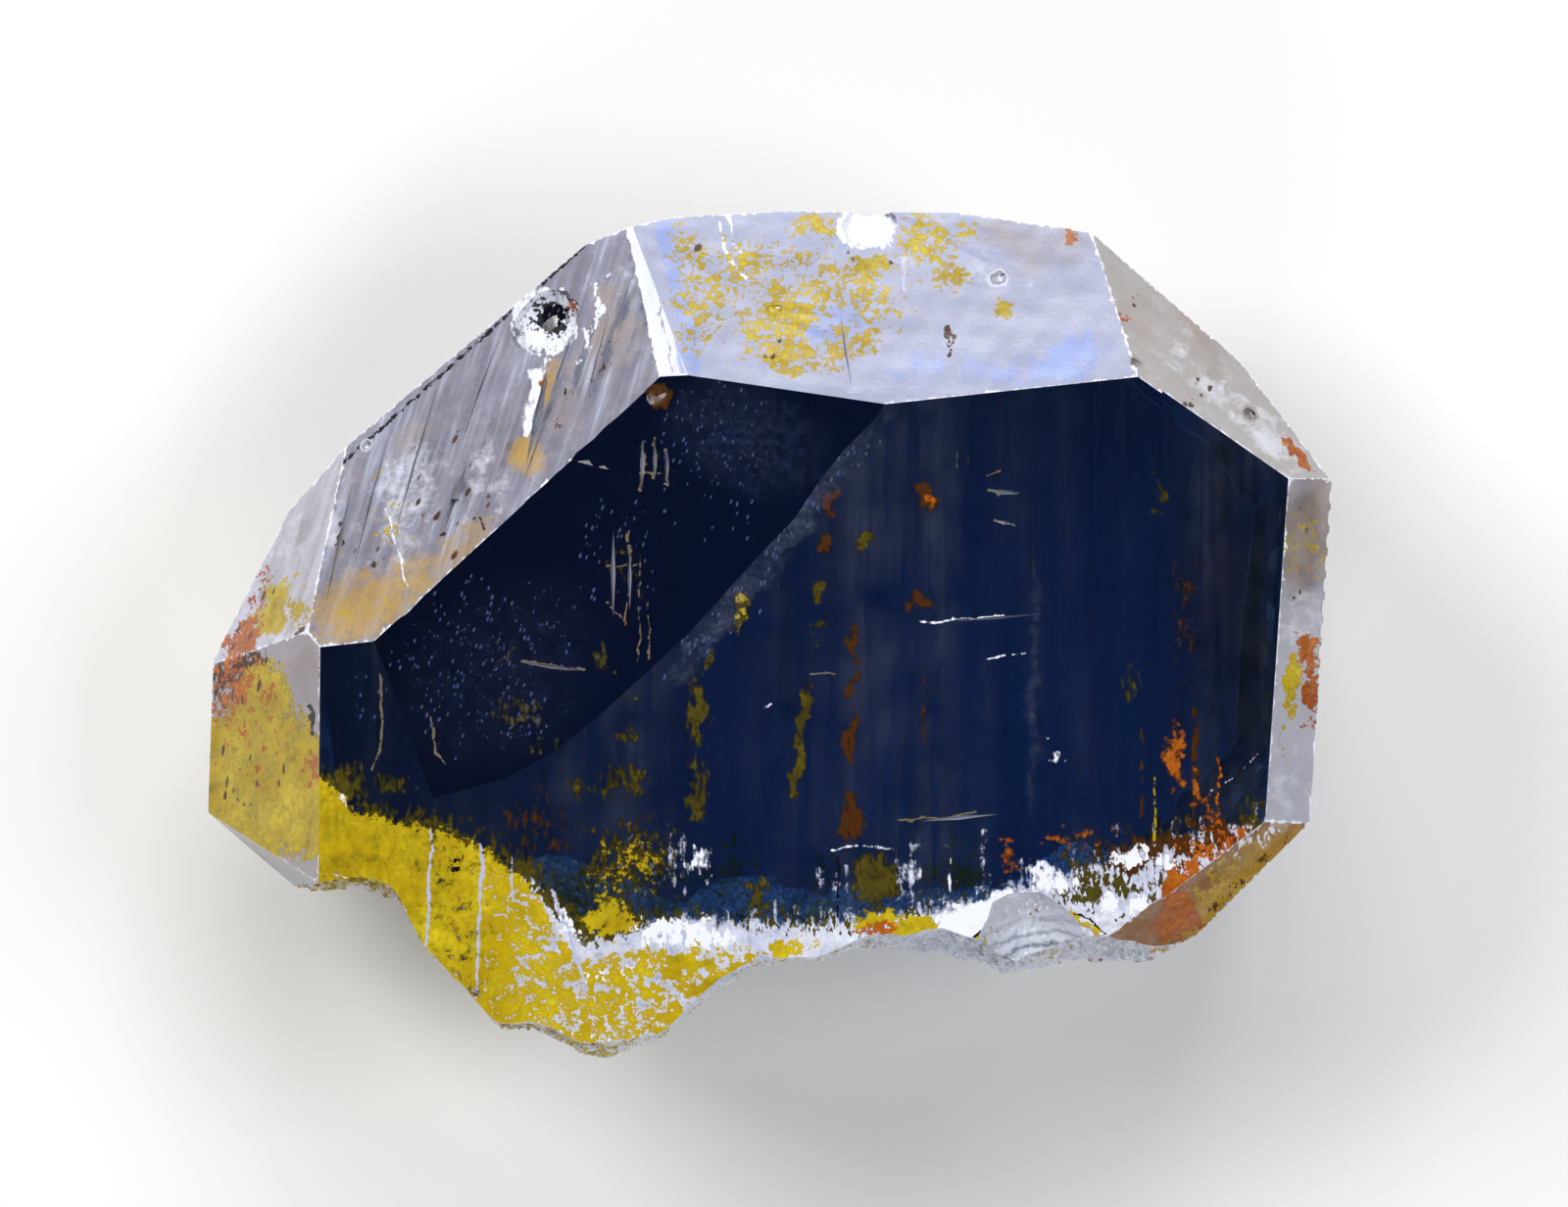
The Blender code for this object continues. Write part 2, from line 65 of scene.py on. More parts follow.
# The camera looks straight down: its frame, its centre and the level that its scale holds for
PHOTO_SIZE = (1600, 1232)
MM_PER_PIXEL = 0.036
VIEW_CENTRE = (0.65, 1.19)
VIEW_LEVEL = 9.0
SENSOR_WIDTH = 36.0
# The floor lies this far under the crystal, so that their surfaces don't coincide
FLOOR_GAP = 0.02
FLOOR_HALF = 1.5
# The soft lights: place in metres, size in metres, share of the main light's power
LIGHTS = {
    "light_left": ((-0.238, 0.161, 0.278), 0.18, 1.0),
    "light_far": ((0.03, 0.31, 0.24), 0.24, 0.9),
    "light_right": ((0.27, -0.02, 0.27), 0.20, 0.6),
    "light_near": ((-0.05, -0.36, 0.20), 0.22, 0.6),
}
LIGHT_AIM = Vector((0.0, 0.0, 0.006))
WORLD_COLOUR = (0.75, 0.82, 1.0, 1.0)
WORLD_STRENGTH = 0.06
CLIP_RANGE = (0.01, 10.0)

# Faces are flat polygons again once edges between triangles flatter than this are dissolved
FLAT_ANGLE = math.radians(0.4)
DOUBLES = 2e-6
# A pit's faces are smaller than this, in square millimetres, and a broken face than the next
PIT_FACE = 1.6
BREAK_FACE = 2.2
# The broken end lies below this y and between these x; a pit's faces lie within this share of its radius
BREAK_TOP = -7.4
BREAK_ENDS = (-17.5, 16.2)
PIT_REACH = 1.1
# A level face this far below the top isn't the largest one
TOP_REACH = 1.0
# A face narrower than this is a sliver and counts to its largest neighbour
SLIVER_WIDTH = 0.06 * MM
# A face counts to a named one when the cosine between their directions is above this
LIKE_NAMED = 0.985
# A painted highlight lies white along an edge where two faces larger than this meet at more than this angle,
# for light caught on its slightly worn rim
EDGE_HIGHLIGHT_AREA = 4.0 * MM * MM
EDGE_HIGHLIGHT_ANGLE = math.radians(14)
EDGE_HIGHLIGHT_WIDTH = 0.12
EDGE_HIGHLIGHT_COVER = 0.66
# Closer net on lines and on spots narrower than this: step of its points
DETAIL_STEP = 0.11
SMALL_SPOT = 0.6
# Rows of points beside a line, in half widths, and the reach of a spot's points, in its radii
LINE_ROWS = (-1.5, -0.75, 0.0, 0.75, 1.5)
SPOT_REACH = 1.4
# Room between a net's points and the outline, in steps, and for the closer net, in millimetres
NET_ROOM = 0.45
DETAIL_ROOM = 0.03
MOST_CUTS = 200
# Growth lines fade to nothing over this distance from an edge
GROWTH_FADE = 0.5
# Angle of the steep growth streaks on the upper left slope, from the Y axis
STREAK_TURN = math.radians(-17.6)
# Waves of the relief, each: seed, count, shortest and longest in millimetres, spread and turn of directions
RELIEF = {
    "grown": (3, 9, 0.8, 2.6),
    "steep": (4, 14, 0.35, 1.4, 0.05, STREAK_TURN),
    "upright": (5, 12, 0.5, 2.5, 0.01),
    "ripples": (6, 16, 0.5, 1.8),
    "crumbs": (7, 10, 0.3, 0.7),
    "lumps": (11, 7, 2.5, 6.0),
}
# Centre of the shell-shaped ripples at the lower edge, drawn as rings of painted shade: x, y, reach
SHELL = (10.0, -13.2, 3.6)

# Order in which the stains lie over each other, the painted shade and painted highlights among them
STAINS = (
    "smoke", "beige", "amber", "blue", "frost", "slate", "pale",
    "olive", "umber", "white", "gold", "lilac", "rust", "bone", "dark",
)
# Stains with a soft edge, and how sharply each one's edge ends; the others end five times as sharply as
# their cover changes and hide what is under them
SOFT_STAINS = {"smoke": 1.6, "beige": 1.8, "amber": 1.7, "blue": 3.5, "frost": 1.8, "slate": 2.0}
HARD_EDGE = 5.0
THIN_STAINS = ("olive", "umber", "rust", "gold")
# Darker colour in the thick parts of a stain, and brighter colour where light comes through it
DEEPENED = {
    "gold": ("#6a5a0e", "#ecd828"),
    "rust": ("#5a2206", "#d8862a"),
    "pale": ("#8288a4", "#ffffff"),
    "olive": ("#221c08", "#7a6a1c"),
}

# Faces by the direction that each looks in, how cloudy the etching left it, its ground colour, and how
# polished its skin is. The darker grounds of the tilted face and the strip are painted shade for their tilt
FACES = {
    "largest": ((0.0, 0.0, 1.0), 0.0, "#c3cfe6", 1.0),
    # Painted shade: the tilted face and the strip have darker grounds than the largest face because of their
    # tilt
    "tilted": ((-0.14, 0.15, 0.98), 0.0, "#4a5578", 1.0),
    "strip": ((-0.44, 0.05, 0.90), 0.0, "#8c98bc", 1.0),
    "top": ((-0.06, 0.58, 0.81), 0.80, "#bcc0dc", 0.6),
    "narrow_bevel": ((-0.17, 0.56, 0.81), 0.92, "#f4f6ff", 0.5),
    "upper_left": ((-0.42, 0.47, 0.78), 0.80, "#9693a4", 0.5),
    "left_shoulder": ((-0.74, 0.41, 0.54), 0.84, "#d8d6e2", 0.5),
    "left_side": ((-0.75, 0.04, 0.66), 0.60, "#c8bcc0", 0.7),
    "upper_right": ((0.43, 0.62, 0.66), 0.78, "#bdb7b2", 0.7),
    "right": ((0.55, -0.04, 0.84), 0.74, "#c9c7d0", 0.7),
    "heel": ((0.43, -0.57, 0.70), 0.78, "#9a640e", 0.75),
    "foot": ((-0.63, -0.76, 0.17), 0.45, "#8e8c84", 0.6),
    "back": ((0.0, 0.0, -1.0), 0.12, "#9aa6c4", 0.7),
}
KIND = {name: number for number, name in enumerate(FACES)}
# The other kinds of face, numbered from the end: the same three values for a pit, the break and a side
PIT, BREAK, SIDE = -3, -2, -1
OTHER_GROUNDS = ((0.50, "#a7a8b6", 0.45), (0.78, "#eceef8", 0.70), (0.38, "#a7a8b6", 0.70))
CLEAR_FACES = ("largest", "strip", "tilted")

# Lower border of the dark window in the largest face, as x and y from left to right: below it the
# quartz is shattered and white
WINDOW_BORDER = (
    (-17, -4.6), (-15, -6.6), (-12, -7.1), (-10.2, -7.8), (-8.3, -8.6), (-7.6, -9.7), (-6.7, -10.6),
    (-4.7, -10.2), (-2.1, -10.1), (1.7, -10.3), (4.4, -10.1), (6.6, -9.8), (9.6, -8.9), (12.5, -7.9),
    (15, -7.2), (18.5, -6.4),
)

# How covers change along the crystal, each: places on X, and the covers there
ALONG = {
    "shattered": ((-11, -8.5), (0.45, 1)),
    "window_olive": ((-16, -14, -5, -2, 9, 12), (0.80, 0.72, 0.70, 0.45, 0.45, 0.6)),
    "window_pale": ((-3, 0, 8, 13), (0.2, 0.52, 0.55, 0.45)),
    "tooth": ((-10.0, -7.0), (0.75, -0.45)),
    "tooth_gold": ((-13.0, -11.0, -7.5, -4.0, 2.0), (0.90, 0.74, 0.61, 0.57, 0.40)),
    "break_gold": ((-16, -6, 0, 6, 12, 16), (0.60, 0.48, 0.36, 0.30, 0.26, 0.50)),
    "break_rust": ((-16, -8, 9, 15), (0.28, 0.10, 0.08, 0.40)),
    "side_gold": ((-20, -16, -11, 15, 20), (0.66, 0.44, 0.14, 0.08, 0.34)),
    "side_dots": ((-20, -15, 15, 20), (0.5, 0.1, 0.1, 0.3)),
}
BACK_GOLD = ((-9, -5), (0.36, 0.02))
# The gold in the window ends at this x
GOLD_END = 2.0

# Stains and broken spots by face and kind, each: cover, x, y, half width, half height, turn if any
SPOTS = {
    "top": {
        "gold": (
            (0.57, -2.9, 14.3, 0.9, 1.1), (0.57, -2.5, 11.5, 1, 1.7), (0.57, -0.9, 13.5, 2.2, 1.5),
            (0.64, 0.5, 11.5, 1.8, 1.8), (0.62, 0.7, 10.2, 2.1, 0.8, -10), (0.62, 3, 10.6, 1.5, 0.8, 10),
            (0.57, 3.7, 12.4, 1.5, 1.2), (0.62, 5.8, 14.5, 1.7, 1.2, -20), (0.58, 6.6, 13.3, 1, 1.1),
            (0.54, 7.2, 14.9, 1.3, 0.5, -8), (0.52, 1.8, 12.6, 4.8, 2.3, -8), (0.5, -2.2, 12.6, 2, 2.6),
            (0.88, 8.6, 11.9, 0.5, 0.35), (0.62, 2, 15, 1.5, 0.6), (0.95, 3.8, 13.7, 0.75, 0.7),
        ),
        "dots": (
            (1, 3.8, 13.6, 0.8, 0.7), (0.7, 0, 10.4, 0.7, 0.3), (0.6, 2.5, 10.4, 0.5, 0.25),
            (0.5, 2.2, 14.9, 0.6, 0.4), (0.5, -2.7, 14.2, 0.6, 0.6),
        ),
        "white": ((1.1, 3.6, 14.9, 1, 0.42, -5),),
        "blue": (
            (0.9, 2.4, 11.4, 1.5, 0.9, 10), (0.95, 11.2, 10.2, 1.6, 0.9, 15), (0.85, 9.2, 9.6, 2, 0.5),
            (0.6, 5.8, 9.8, 2.4, 0.9), (0.7, -2.6, 12.5, 0.5, 2.8, 9), (0.55, 0.3, 14.6, 1.4, 0.6),
        ),
        "beige": ((0.85, 10.2, 14.2, 3.2, 1.1, -12), (0.55, 8.6, 12.3, 3, 1),),
        "frost": ((0.55, 8, 13.2, 2.6, 0.7, -20),),
        "umber": ((0.8, 6.6, 10.8, 0.18, 0.4, 15),),
        "rust": ((1, 11.3, 14.5, 0.3, 0.3),),
    },
    "upper_right": {
        "frost": (
            (0.62, 14.9, 10.2, 1, 1.2), (1.05, 18.5, 7.1, 1.4, 0.6, -42), (0.85, 16.6, 8.6, 2.2, 0.5, -42),
        ),
        # Painted shade: brown darkening of the crystal's right end
        "smoke": ((0.55, 14.6, 10.4, 1.8, 1.2, -40),),
        "beige": ((0.8, 15.9, 10.9, 1.6, 0.7, -40), (0.7, 13.2, 12, 1.2, 1.6),),
        "dots": ((0.9, 15.6, 9, 0.6, 0.8, -50), (0.55, 13.4, 12.2, 0.7, 1.2),),
        "rust": (
            (0.6, 13.1, 11.6, 0.5, 0.15), (0.62, 13.7, 12.5, 0.3, 0.2), (0.95, 19.3, 6.6, 1, 0.22, -48),
        ),
        "gold": ((0.6, 19, 6.8, 0.9, 0.3, -48),),
    },
    "right": {
        "beige": ((1, 19.5, 3.6, 1.8, 2.6),),
        # Painted shade: brown darkening of the crystal's right end
        "smoke": ((1.4, 19.6, 3.6, 1.8, 2.4),),
        "gold": (
            (0.42, 19.3, 3.2, 1.5, 2.2), (0.8, 19.1, -1.8, 0.35, 1.4, -8), (0.6, 18.8, -3.6, 0.2, 0.9, -12),
        ),
        "frost": ((0.7, 19.3, 0.6, 1.2, 1.1), (0.6, 18.9, -5.2, 1.2, 1.5),),
        "umber": ((0.4, 19.1, 1.4, 0.9, 0.25, 10),),
        "rust": ((0.9, 19.7, -0.5, 0.45, 0.7, 20), (0.75, 19.8, -2.1, 0.4, 1.2),),
        "dots": ((0.6, 19.9, 4.6, 0.5, 1.2),),
    },
    "heel": {
        "amber": ((1.15, 17.6, -9.2, 3.8, 1.6, 45),),
        "rust": ((0.36, 17.6, -9.2, 3.8, 1.2, 45), (1.05, 14.9, -10.2, 0.8, 0.9, -30),),
        "gold": ((0.5, 17.2, -9.7, 3.6, 1, 45), (0.48, 16.2, -9, 2.6, 0.9, 45),),
        "umber": ((0.5, 17.6, -9.2, 3, 0.8, 45),),
        # Painted shade: brown darkening of the crystal's right end
        "smoke": ((0.7, 17.8, -8, 2.4, 0.9, 45),),
        "frost": ((0.6, 18.6, -6.9, 0.9, 0.4),),
        "white": ((0.55, 17.4, -7.4, 1.2, 0.5, 20),),
    },
    "left_side": {
        "gold": (
            (1.45, -18.8, -5.4, 2.8, 2.6), (1.1, -16.9, -6.6, 1.6, 1.6), (1.15, -18.5, -2.3, 1.1, 1.3),
            (0.9, -16.5, -5, 0.7, 0.9), (1, -17.8, -6.2, 1.4, 0.9, -30),
        ),
        "rust": (
            (0.4, -18.8, -4.2, 2, 2.4), (0.58, -19.6, -1.8, 1.4, 2), (0.5, -18.3, -2.3, 0.7, 0.8),
            (0.62, -16.5, -4.8, 0.6, 0.8),
        ),
        "umber": ((0.72, -19.4, -1.4, 1.5, 1.4),),
        "frost": ((0.6, -17.9, -3.4, 1.3, 0.4),),
        "beige": ((0.8, -16.8, -1.7, 0.8, 1.8),),
        # Painted shade in a small hollow
        "dark": ((0.95, -16.6, -3, 0.16, 0.5, 10),),
        "dots": ((0.8, -19.4, -1.8, 1.2, 1.5), (0.55, -19, -4.6, 1.8, 1.6),),
    },
    "left_shoulder": {
        "gold": ((0.85, -18.2, 0.9, 0.8, 1.4, -30), (0.62, -17.1, 0.9, 0.7, 0.9),),
        "rust": ((0.8, -19.2, -0.1, 1, 0.7, 45), (0.5, -18.7, 1.6, 0.35, 1.9, -30),),
        "frost": ((0.9, -17.6, -0.1, 1, 0.3, 8), (0.6, -17.4, 3.6, 0.8, 1.6, -20),),
        "dots": ((0.7, -19, 0.6, 0.7, 1.4, -30),),
        "umber": ((0.8, -17.2, 0, 0.35, 0.2, 50),),
    },
    "upper_left": {
        "amber": (
            (1.1, -14.8, 1, 2.6, 1.5, 20), (1, -12.9, 1.9, 1.6, 1.3, 20), (0.9, -11.2, 3.1, 2, 0.9, 40),
            (1.4, -8.8, 6.7, 0.8, 0.7), (1.2, -8, 9.2, 0.4, 1.3, -14),
        ),
        "gold": (
            (0.4, -14.6, 0.9, 1.9, 0.7, 20), (0.42, -13.8, 3.8, 1.6, 1.4), (0.55, -14.2, 6, 0.2, 0.4, -15),
            (0.6, -9.8, 7.6, 0.3, 0.2),
        ),
        # The white streak at x -8.5 on this slope is a painted highlight
        "white": ((0.95, -8.5, 8.8, 0.28, 1.5, -14), (0.6, -6.2, 12, 0.16, 2.2, -15),),
        "frost": (
            (0.8, -13.2, 5, 1.3, 2.6, -16), (0.72, -16, 4.2, 0.6, 2, -18),
            (0.66, -10.4, 6.2, 0.5, 2.4, -16), (0.7, -5, 12.9, 0.35, 1.8, -15),
            (0.62, -9.7, 5.4, 0.5, 1.1, -16),
        ),
        "slate": (
            (1.05, -5.5, 11.6, 0.3, 2.6, -15), (0.9, -6.6, 10.2, 0.22, 2.2, -15),
            (0.8, -4.4, 12.6, 0.14, 2.2, -13), (0.85, -9.5, 6.8, 0.3, 0.5, -16),
            (0.95, -11.3, 5.1, 0.13, 1.5, -15), (0.6, -11.9, 6.8, 1.5, 0.4, 8),
            (0.55, -7.4, 9.4, 0.12, 1.4, -15), (0.7, -14.2, 6.9, 0.1, 0.9, -15),
            (0.6, -13.1, 6.6, 0.08, 1, -15),
        ),
        "umber": (
            (0.5, -6.1, 9.6, 0.3, 1.6, -15), (0.45, -7.6, 7.9, 0.3, 1.2, -15),
            (0.9, -15.8, 3.4, 0.14, 0.22, -20), (0.8, -10.4, 4.1, 0.32, 0.12, -35),
            (0.9, -11.8, 3.6, 0.16, 0.14),
        ),
        "rust": ((0.8, -8.1, 9, 0.13, 0.8, -14), (0.8, -8.5, 5.7, 0.2, 0.1),),
        "beige": (
            (0.85, -5.7, 10.8, 0.9, 2.2, -15), (0.75, -7.2, 8.6, 1.3, 1.8, -15),
            (0.62, -15.4, 5.2, 0.6, 1.8, -16), (0.55, -12.6, 7.6, 1.5, 1.4, -15),
        ),
        "dots": ((0.42, -12.5, 5, 4, 3.5, 40),),
    },
    "strip": {
        "olive": ((0.75, -15.5, -5.3, 1.2, 0.8), (0.6, -13.6, -5.4, 0.9, 0.5),),
        "gold": ((0.6, -15.6, -6.2, 0.9, 0.5, -30),),
        "white": ((0.55, -15.5, -6, 0.3, 0.5), (0.6, -16.5, -4, 0.2, 0.8),),
        "beige": ((0.75, -16.3, -2.5, 0.35, 2.4),),
        "specks": ((0.35, -14.6, -2.5, 1.8, 2),),
    },
    "tilted": {
        "haze": ((0.2, -0.8, 7.3, 2.6, 1.6, -25), (0.1, -9.6, -1.4, 3.4, 2.4, 40),),
        "specks": (
            (1, -10.4, -0.8, 3.2, 2.8, 40), (0.8, -9.4, -3, 2.4, 1.2, 20), (0.9, -2, 7.2, 2.2, 2.2),
            (0.45, -5.5, 3.2, 3, 3, 40), (0.6, -1, 4.2, 1.6, 0.7, 50),
        ),
        "olive": (
            (0.55, -9.5, -0.8, 0.6, 0.6), (0.55, -9, -2.8, 1.2, 0.9), (0.55, -6, -0.8, 0.8, 0.6),
            (0.5, -8, -4, 1.4, 0.4, 20), (0.42, -5.2, 2.2, 1, 1.8),
        ),
        "rust": ((0.9, -5.2, 0.5, 0.2, 0.1, 20),),
    },
    "largest": {
        "haze": (
            (0.17, 1.9, 5.2, 0.6, 3.8, -38), (0.14, -1.4, 1, 0.5, 3.4, -38),
            (0.08, 9.7, -1.5, 0.15, 4.2, -1),
        ),
        "specks": (
            (1, 1.6, 5, 0.8, 3.6, -38), (0.85, -1.6, 0.8, 0.9, 3, -40), (0.26, 4, -1, 9, 6.5),
            (0.8, -4.8, -8.1, 1.6, 1.2, 20),
        ),
        "umber": (
            (1.15, 5.8, 5.1, 0.34, 0.62, 10), (0.9, 2.4, 4.8, 0.26, 0.7, 15), (0.8, 2.1, 3.4, 0.24, 0.3),
            (0.95, 5.5, 1.2, 0.42, 0.36), (0.95, 3.2, -0.3, 0.2, 0.62), (0.9, 3.2, -2.2, 0.11, 1.2),
            (0.95, 3, -3.9, 0.28, 0.7), (1, 3.1, -6.5, 0.42, 0.9), (0.5, -8.3, -6.9, 1.8, 1.7),
            (0.66, 14, -7.9, 2.8, 0.9, 5), (0.66, 16.4, -7.4, 1.8, 0.9, 5), (0.46, 15.2, 1, 0.6, 4),
        ),
        "rust": (
            (0.62, 5.9, 5, 0.26, 0.5, 10), (0.56, 8.8, -7.7, 0.5, 0.9), (0.48, 11.1, -7.3, 1.8, 0.5),
            (0.7, 4, -10.6, 1, 0.35), (1.2, 15, -9.3, 0.55, 1.1, -25), (1.2, 14.4, -10.7, 0.6, 0.5, 30),
            (0.9, 14.7, -8.4, 0.2, 0.5), (0.62, 16.8, -7.6, 2.2, 0.7, 10), (0.8, 14.8, -4.4, 0.45, 1.3),
            (0.66, 15.5, -5.6, 0.26, 1), (0.6, 16, -6.2, 0.35, 0.8), (0.5, -1.4, -12.7, 1, 0.4, 25),
        ),
        "olive": (
            (0.85, 3.5, 3.5, 0.3, 0.3), (0.85, 1.9, 1.6, 0.28, 0.52), (0.9, 1.9, 0.3, 0.45, 0.28),
            (0.95, -0.9, 1, 0.28, 0.75), (0.95, 1.4, -2.6, 0.22, 1.1, -5), (0.9, 1.1, -4.9, 0.22, 1.5, -3),
            (0.85, -2.5, -2.6, 0.42, 1.3), (0.7, -2.1, -0.9, 0.25, 0.5, -20), (0.75, -2.5, -5.8, 0.42, 1.3),
            (0.62, -5.3, -5.3, 1.5, 0.9), (0.62, -6.8, -5.4, 0.4, 0.8), (0.6, -5, -3.6, 0.8, 0.3),
            (0.55, -4.9, -2.3, 0.5, 0.2), (0.66, -5, -8.2, 2.2, 1.6, 20), (0.75, -0.3, -9.6, 0.5, 0.9),
            (0.9, 3.9, -8.9, 0.9, 1.1), (0.62, 11.7, -8.9, 2.6, 1.2), (0.52, 13.6, -9.4, 1.8, 1.4),
            (0.5, 13.2, -1.6, 0.5, 1.4), (0.46, 14.2, 5, 0.5, 1.6), (0.66, -15, -7, 1.2, 0.35, -30),
            (0.7, -12.4, -8.4, 1.6, 0.13),
        ),
        "gold": (
            (0.55, -0.9, 1, 0.26, 0.75), (0.5, -5, -8.3, 1.8, 1.4, 20), (0.85, -5.7, -10.2, 0.9, 0.9),
            (1, 4.1, -10.3, 0.8, 0.35), (1.1, 5.4, -10.7, 0.7, 0.45), (0.62, 0.4, -11.7, 1.7, 0.8, 20),
            (1, 11.7, -10.5, 0.8, 0.18, -40), (0.9, 12.4, -11, 0.4, 0.2, -30), (0.8, 7.3, -11.5, 0.8, 0.25),
            (1.1, -13.9, -7.9, 2.6, 0.9, -8), (1, -15.8, -7.6, 1.6, 1, -20), (1.1, -3, -11.9, 1.2, 0.3, 5),
            (1.15, -1.6, -12.6, 1.2, 0.5, 25),
        ),
        "pale": (
            (0.52, -3.2, -8, 0.7, 1.9), (0.5, 2.3, -8.6, 0.9, 1.1), (0.5, 5, -8.5, 1, 1.1),
            (0.46, 7.3, -7.7, 1.2, 1),
        ),
        "white": (
            (0.6, -2.4, -8.1, 0.5, 0.9), (1, 8, -9.9, 2, 0.45, 15), (1, 6.7, -10.8, 1.4, 0.4),
            (0.72, 10.2, -8.8, 1.2, 0.6), (0.95, 14.4, -8.1, 0.5, 0.3), (0.9, 13.5, -9.7, 0.4, 0.35),
            (0.9, 12.4, -9.6, 0.4, 0.35), (0.66, 13.2, -8, 1, 0.3), (0.7, 10.55, -4.35, 0.3, 0.22, 20),
            (0.62, 10.2, -3.6, 0.16, 0.12, 20), (0.95, 9.2, -1.7, 0.09, 0.09), (0.9, 0, -2.45, 0.14, 0.11),
            (0.62, -13.2, -7.1, 0.4, 0.3), (0.72, -3, -10.8, 2.4, 0.62, -3),
            (0.6, -5.5, -12.2, 2.2, 0.3, 10), (0.62, -7.3, -10.4, 0.3, 1.1, 35),
        ),
        # Painted shade: brown darkening of the window's right end
        "smoke": ((1, 15, 0.5, 0.8, 7), (0.95, 17, 0.5, 1, 7), (0.6, 13, 1.5, 1.2, 5),),
        # Painted shade in a small hollow
        "dark": ((0.6, -11.3, -8.3, 0.6, 0.2),),
    },
}

# Narrow lines by face and kind, each: cover, half width, and the x and y of its points
LINES = {
    "narrow_bevel": {
        "slate": ((1.1, 0.05, -4.35, 14.7, -3.4, 9.6),),
        "blue": ((1.1, 0.1, -4.05, 14.9, -3.05, 9.6),),
    },
    "top": {
        "blue": ((1.15, 0.35, -3.75, 15, -2.6, 9.9),),
        "white": (
            (0.8, 0.07, -1.75, 15.2, -1.55, 14.2, -1.1, 13.4, -0.75, 13.1),
            (0.7, 0.06, -1.35, 15.3, -1.2, 14.4, -0.8, 13.9),
        ),
        "frost": ((0.9, 0.1, 5, 13.9, 5, 12.6),),
    },
    "upper_left": {
        "white": ((0.85, 0.07, -15.9, 5.6, -16.9, 1.2), (0.7, 0.05, -13.9, 4.7, -13.1, 1.8),),
        # Painted shade: a dark line inside the slope's outer edge, for its narrow second bevel
        "dark": ((0.62, 0.09, -6.62, 14.38, -12.1, 9.5, -17.6, 4.58),),
    },
    "strip": {
        "bone": ((0.9, 0.06, -14, -1.3, -14, -4.1, -14.4, -4.9),),
    },
    "tilted": {
        "bone": (
            (0.9, 0.045, -4.5, 7.15, -4.5, 5.3), (0.85, 0.045, -4.05, 7.2, -4.05, 5.6),
            (0.9, 0.045, -3.6, 6.9, -3.6, 5.45), (0.7, 0.045, -4.6, 5.95, -3.5, 5.95),
            (0.75, 0.05, -5.55, 2.1, -5.6, 1.3),
            (0.95, 0.045, -4.95, 3.95, -4.98, 1.6, -5.15, 0.55, -5.6, 0.95, -5.75, 1.2),
            (0.75, 0.045, -5.8, 2.55, -4.45, 2.6), (0.66, 0.05, -4.6, 3, -4.6, -0.9),
            (0.66, 0.05, -4.25, 1.4, -4.25, -0.8), (1, 0.05, -8.9, -0.95, -7.6, -1.05, -6.6, -1.25),
            (0.85, 0.05, -12.2, -3, -12, -4.2, -11.6, -4.6),
        ),
    },
    "largest": {
        "bone": (
            (0.95, 0.05, 8.1, 5.3, 9.1, 5.15), (0.8, 0.06, 8, 5.8, 8.5, 6),
            (0.8, 0.06, 8.3, 4.2, 8.95, 4.05), (0.6, 0.05, 6.9, 6.8, 6.9, 6.1),
            (0.6, 0.05, 7.3, 6.8, 7.3, 6.2), (1.1, 0.04, 1.65, -1.35, 2.6, -1.3),
            (1, 0.045, 4.8, -6.65, 6.3, -6.6, 7.6, -6.35),
        ),
        "white": (
            (0.8, 0.05, 5.5, 0.45, 7, 0.6, 8.7, 0.75), (0.62, 0.05, 8, -0.8, 9.4, -0.6),
            (0.5, 0.06, 16.1, -5.6, 17, -5.1, 18, -4.1), (0.8, 0.1, -8, -14.2, -4.5, -14.9, -1.4, -12.9),
            (1, 0.09, -16, -9.2, -13.9, -9.4, -12.9, -10.4, -10.8, -12.9, -9.2, -14.3),
            (0.9, 0.06, 8.2, -11.4, 9.2, -10.9, 10.2, -10.85, 11, -11.3),
            (0.7, 0.06, 2.4, -7.75, 3.3, -7.6, 4.6, -7.7), (0.62, 0.06, 6.7, -8, 6.7, -10.4),
        ),
        "gold": ((0.66, 0.07, 14.1, -5, 14.1, -7.4), (0.7, 0.12, 7.6, -11, 8.6, -10.2, 9.8, -10.05),),
        "umber": (
            (0.64, 0.13, 15.6, -2.6, 15.5, -7.2), (0.62, 0.1, 13.6, -3.4, 13.6, -6.8),
            (0.6, 0.07, 5.7, -1.6, 5.7, -3.9),
        ),
        "rust": ((0.6, 0.11, 16.4, -4.4, 16.4, -7.4),),
        "lilac": (
            (0.78, 0.075, -12.15, -7, -12.3, -11.7), (0.74, 0.07, -10.3, -7.5, -10.5, -13.1),
            (0.66, 0.07, -9.2, -8, -9.2, -9.6, -8.7, -9.8),
            (0.72, 0.09, -7.8, -9.2, -7.2, -10.6, -6.6, -12.4),
        ),
        # Painted shade along the cracks at the broken rim
        "dark": (
            (0.8, 0.05, 7.2, -11.2, 8.2, -10.3, 9.8, -9.9, 11.4, -10.1, 12.3, -10.8),
            (0.7, 0.04, 8, -11.3, 9, -10.6, 10.2, -10.5, 11.2, -10.9), (0.7, 0.05, 2.6, -7.9, 2.6, -10.2),
        ),
    },
}

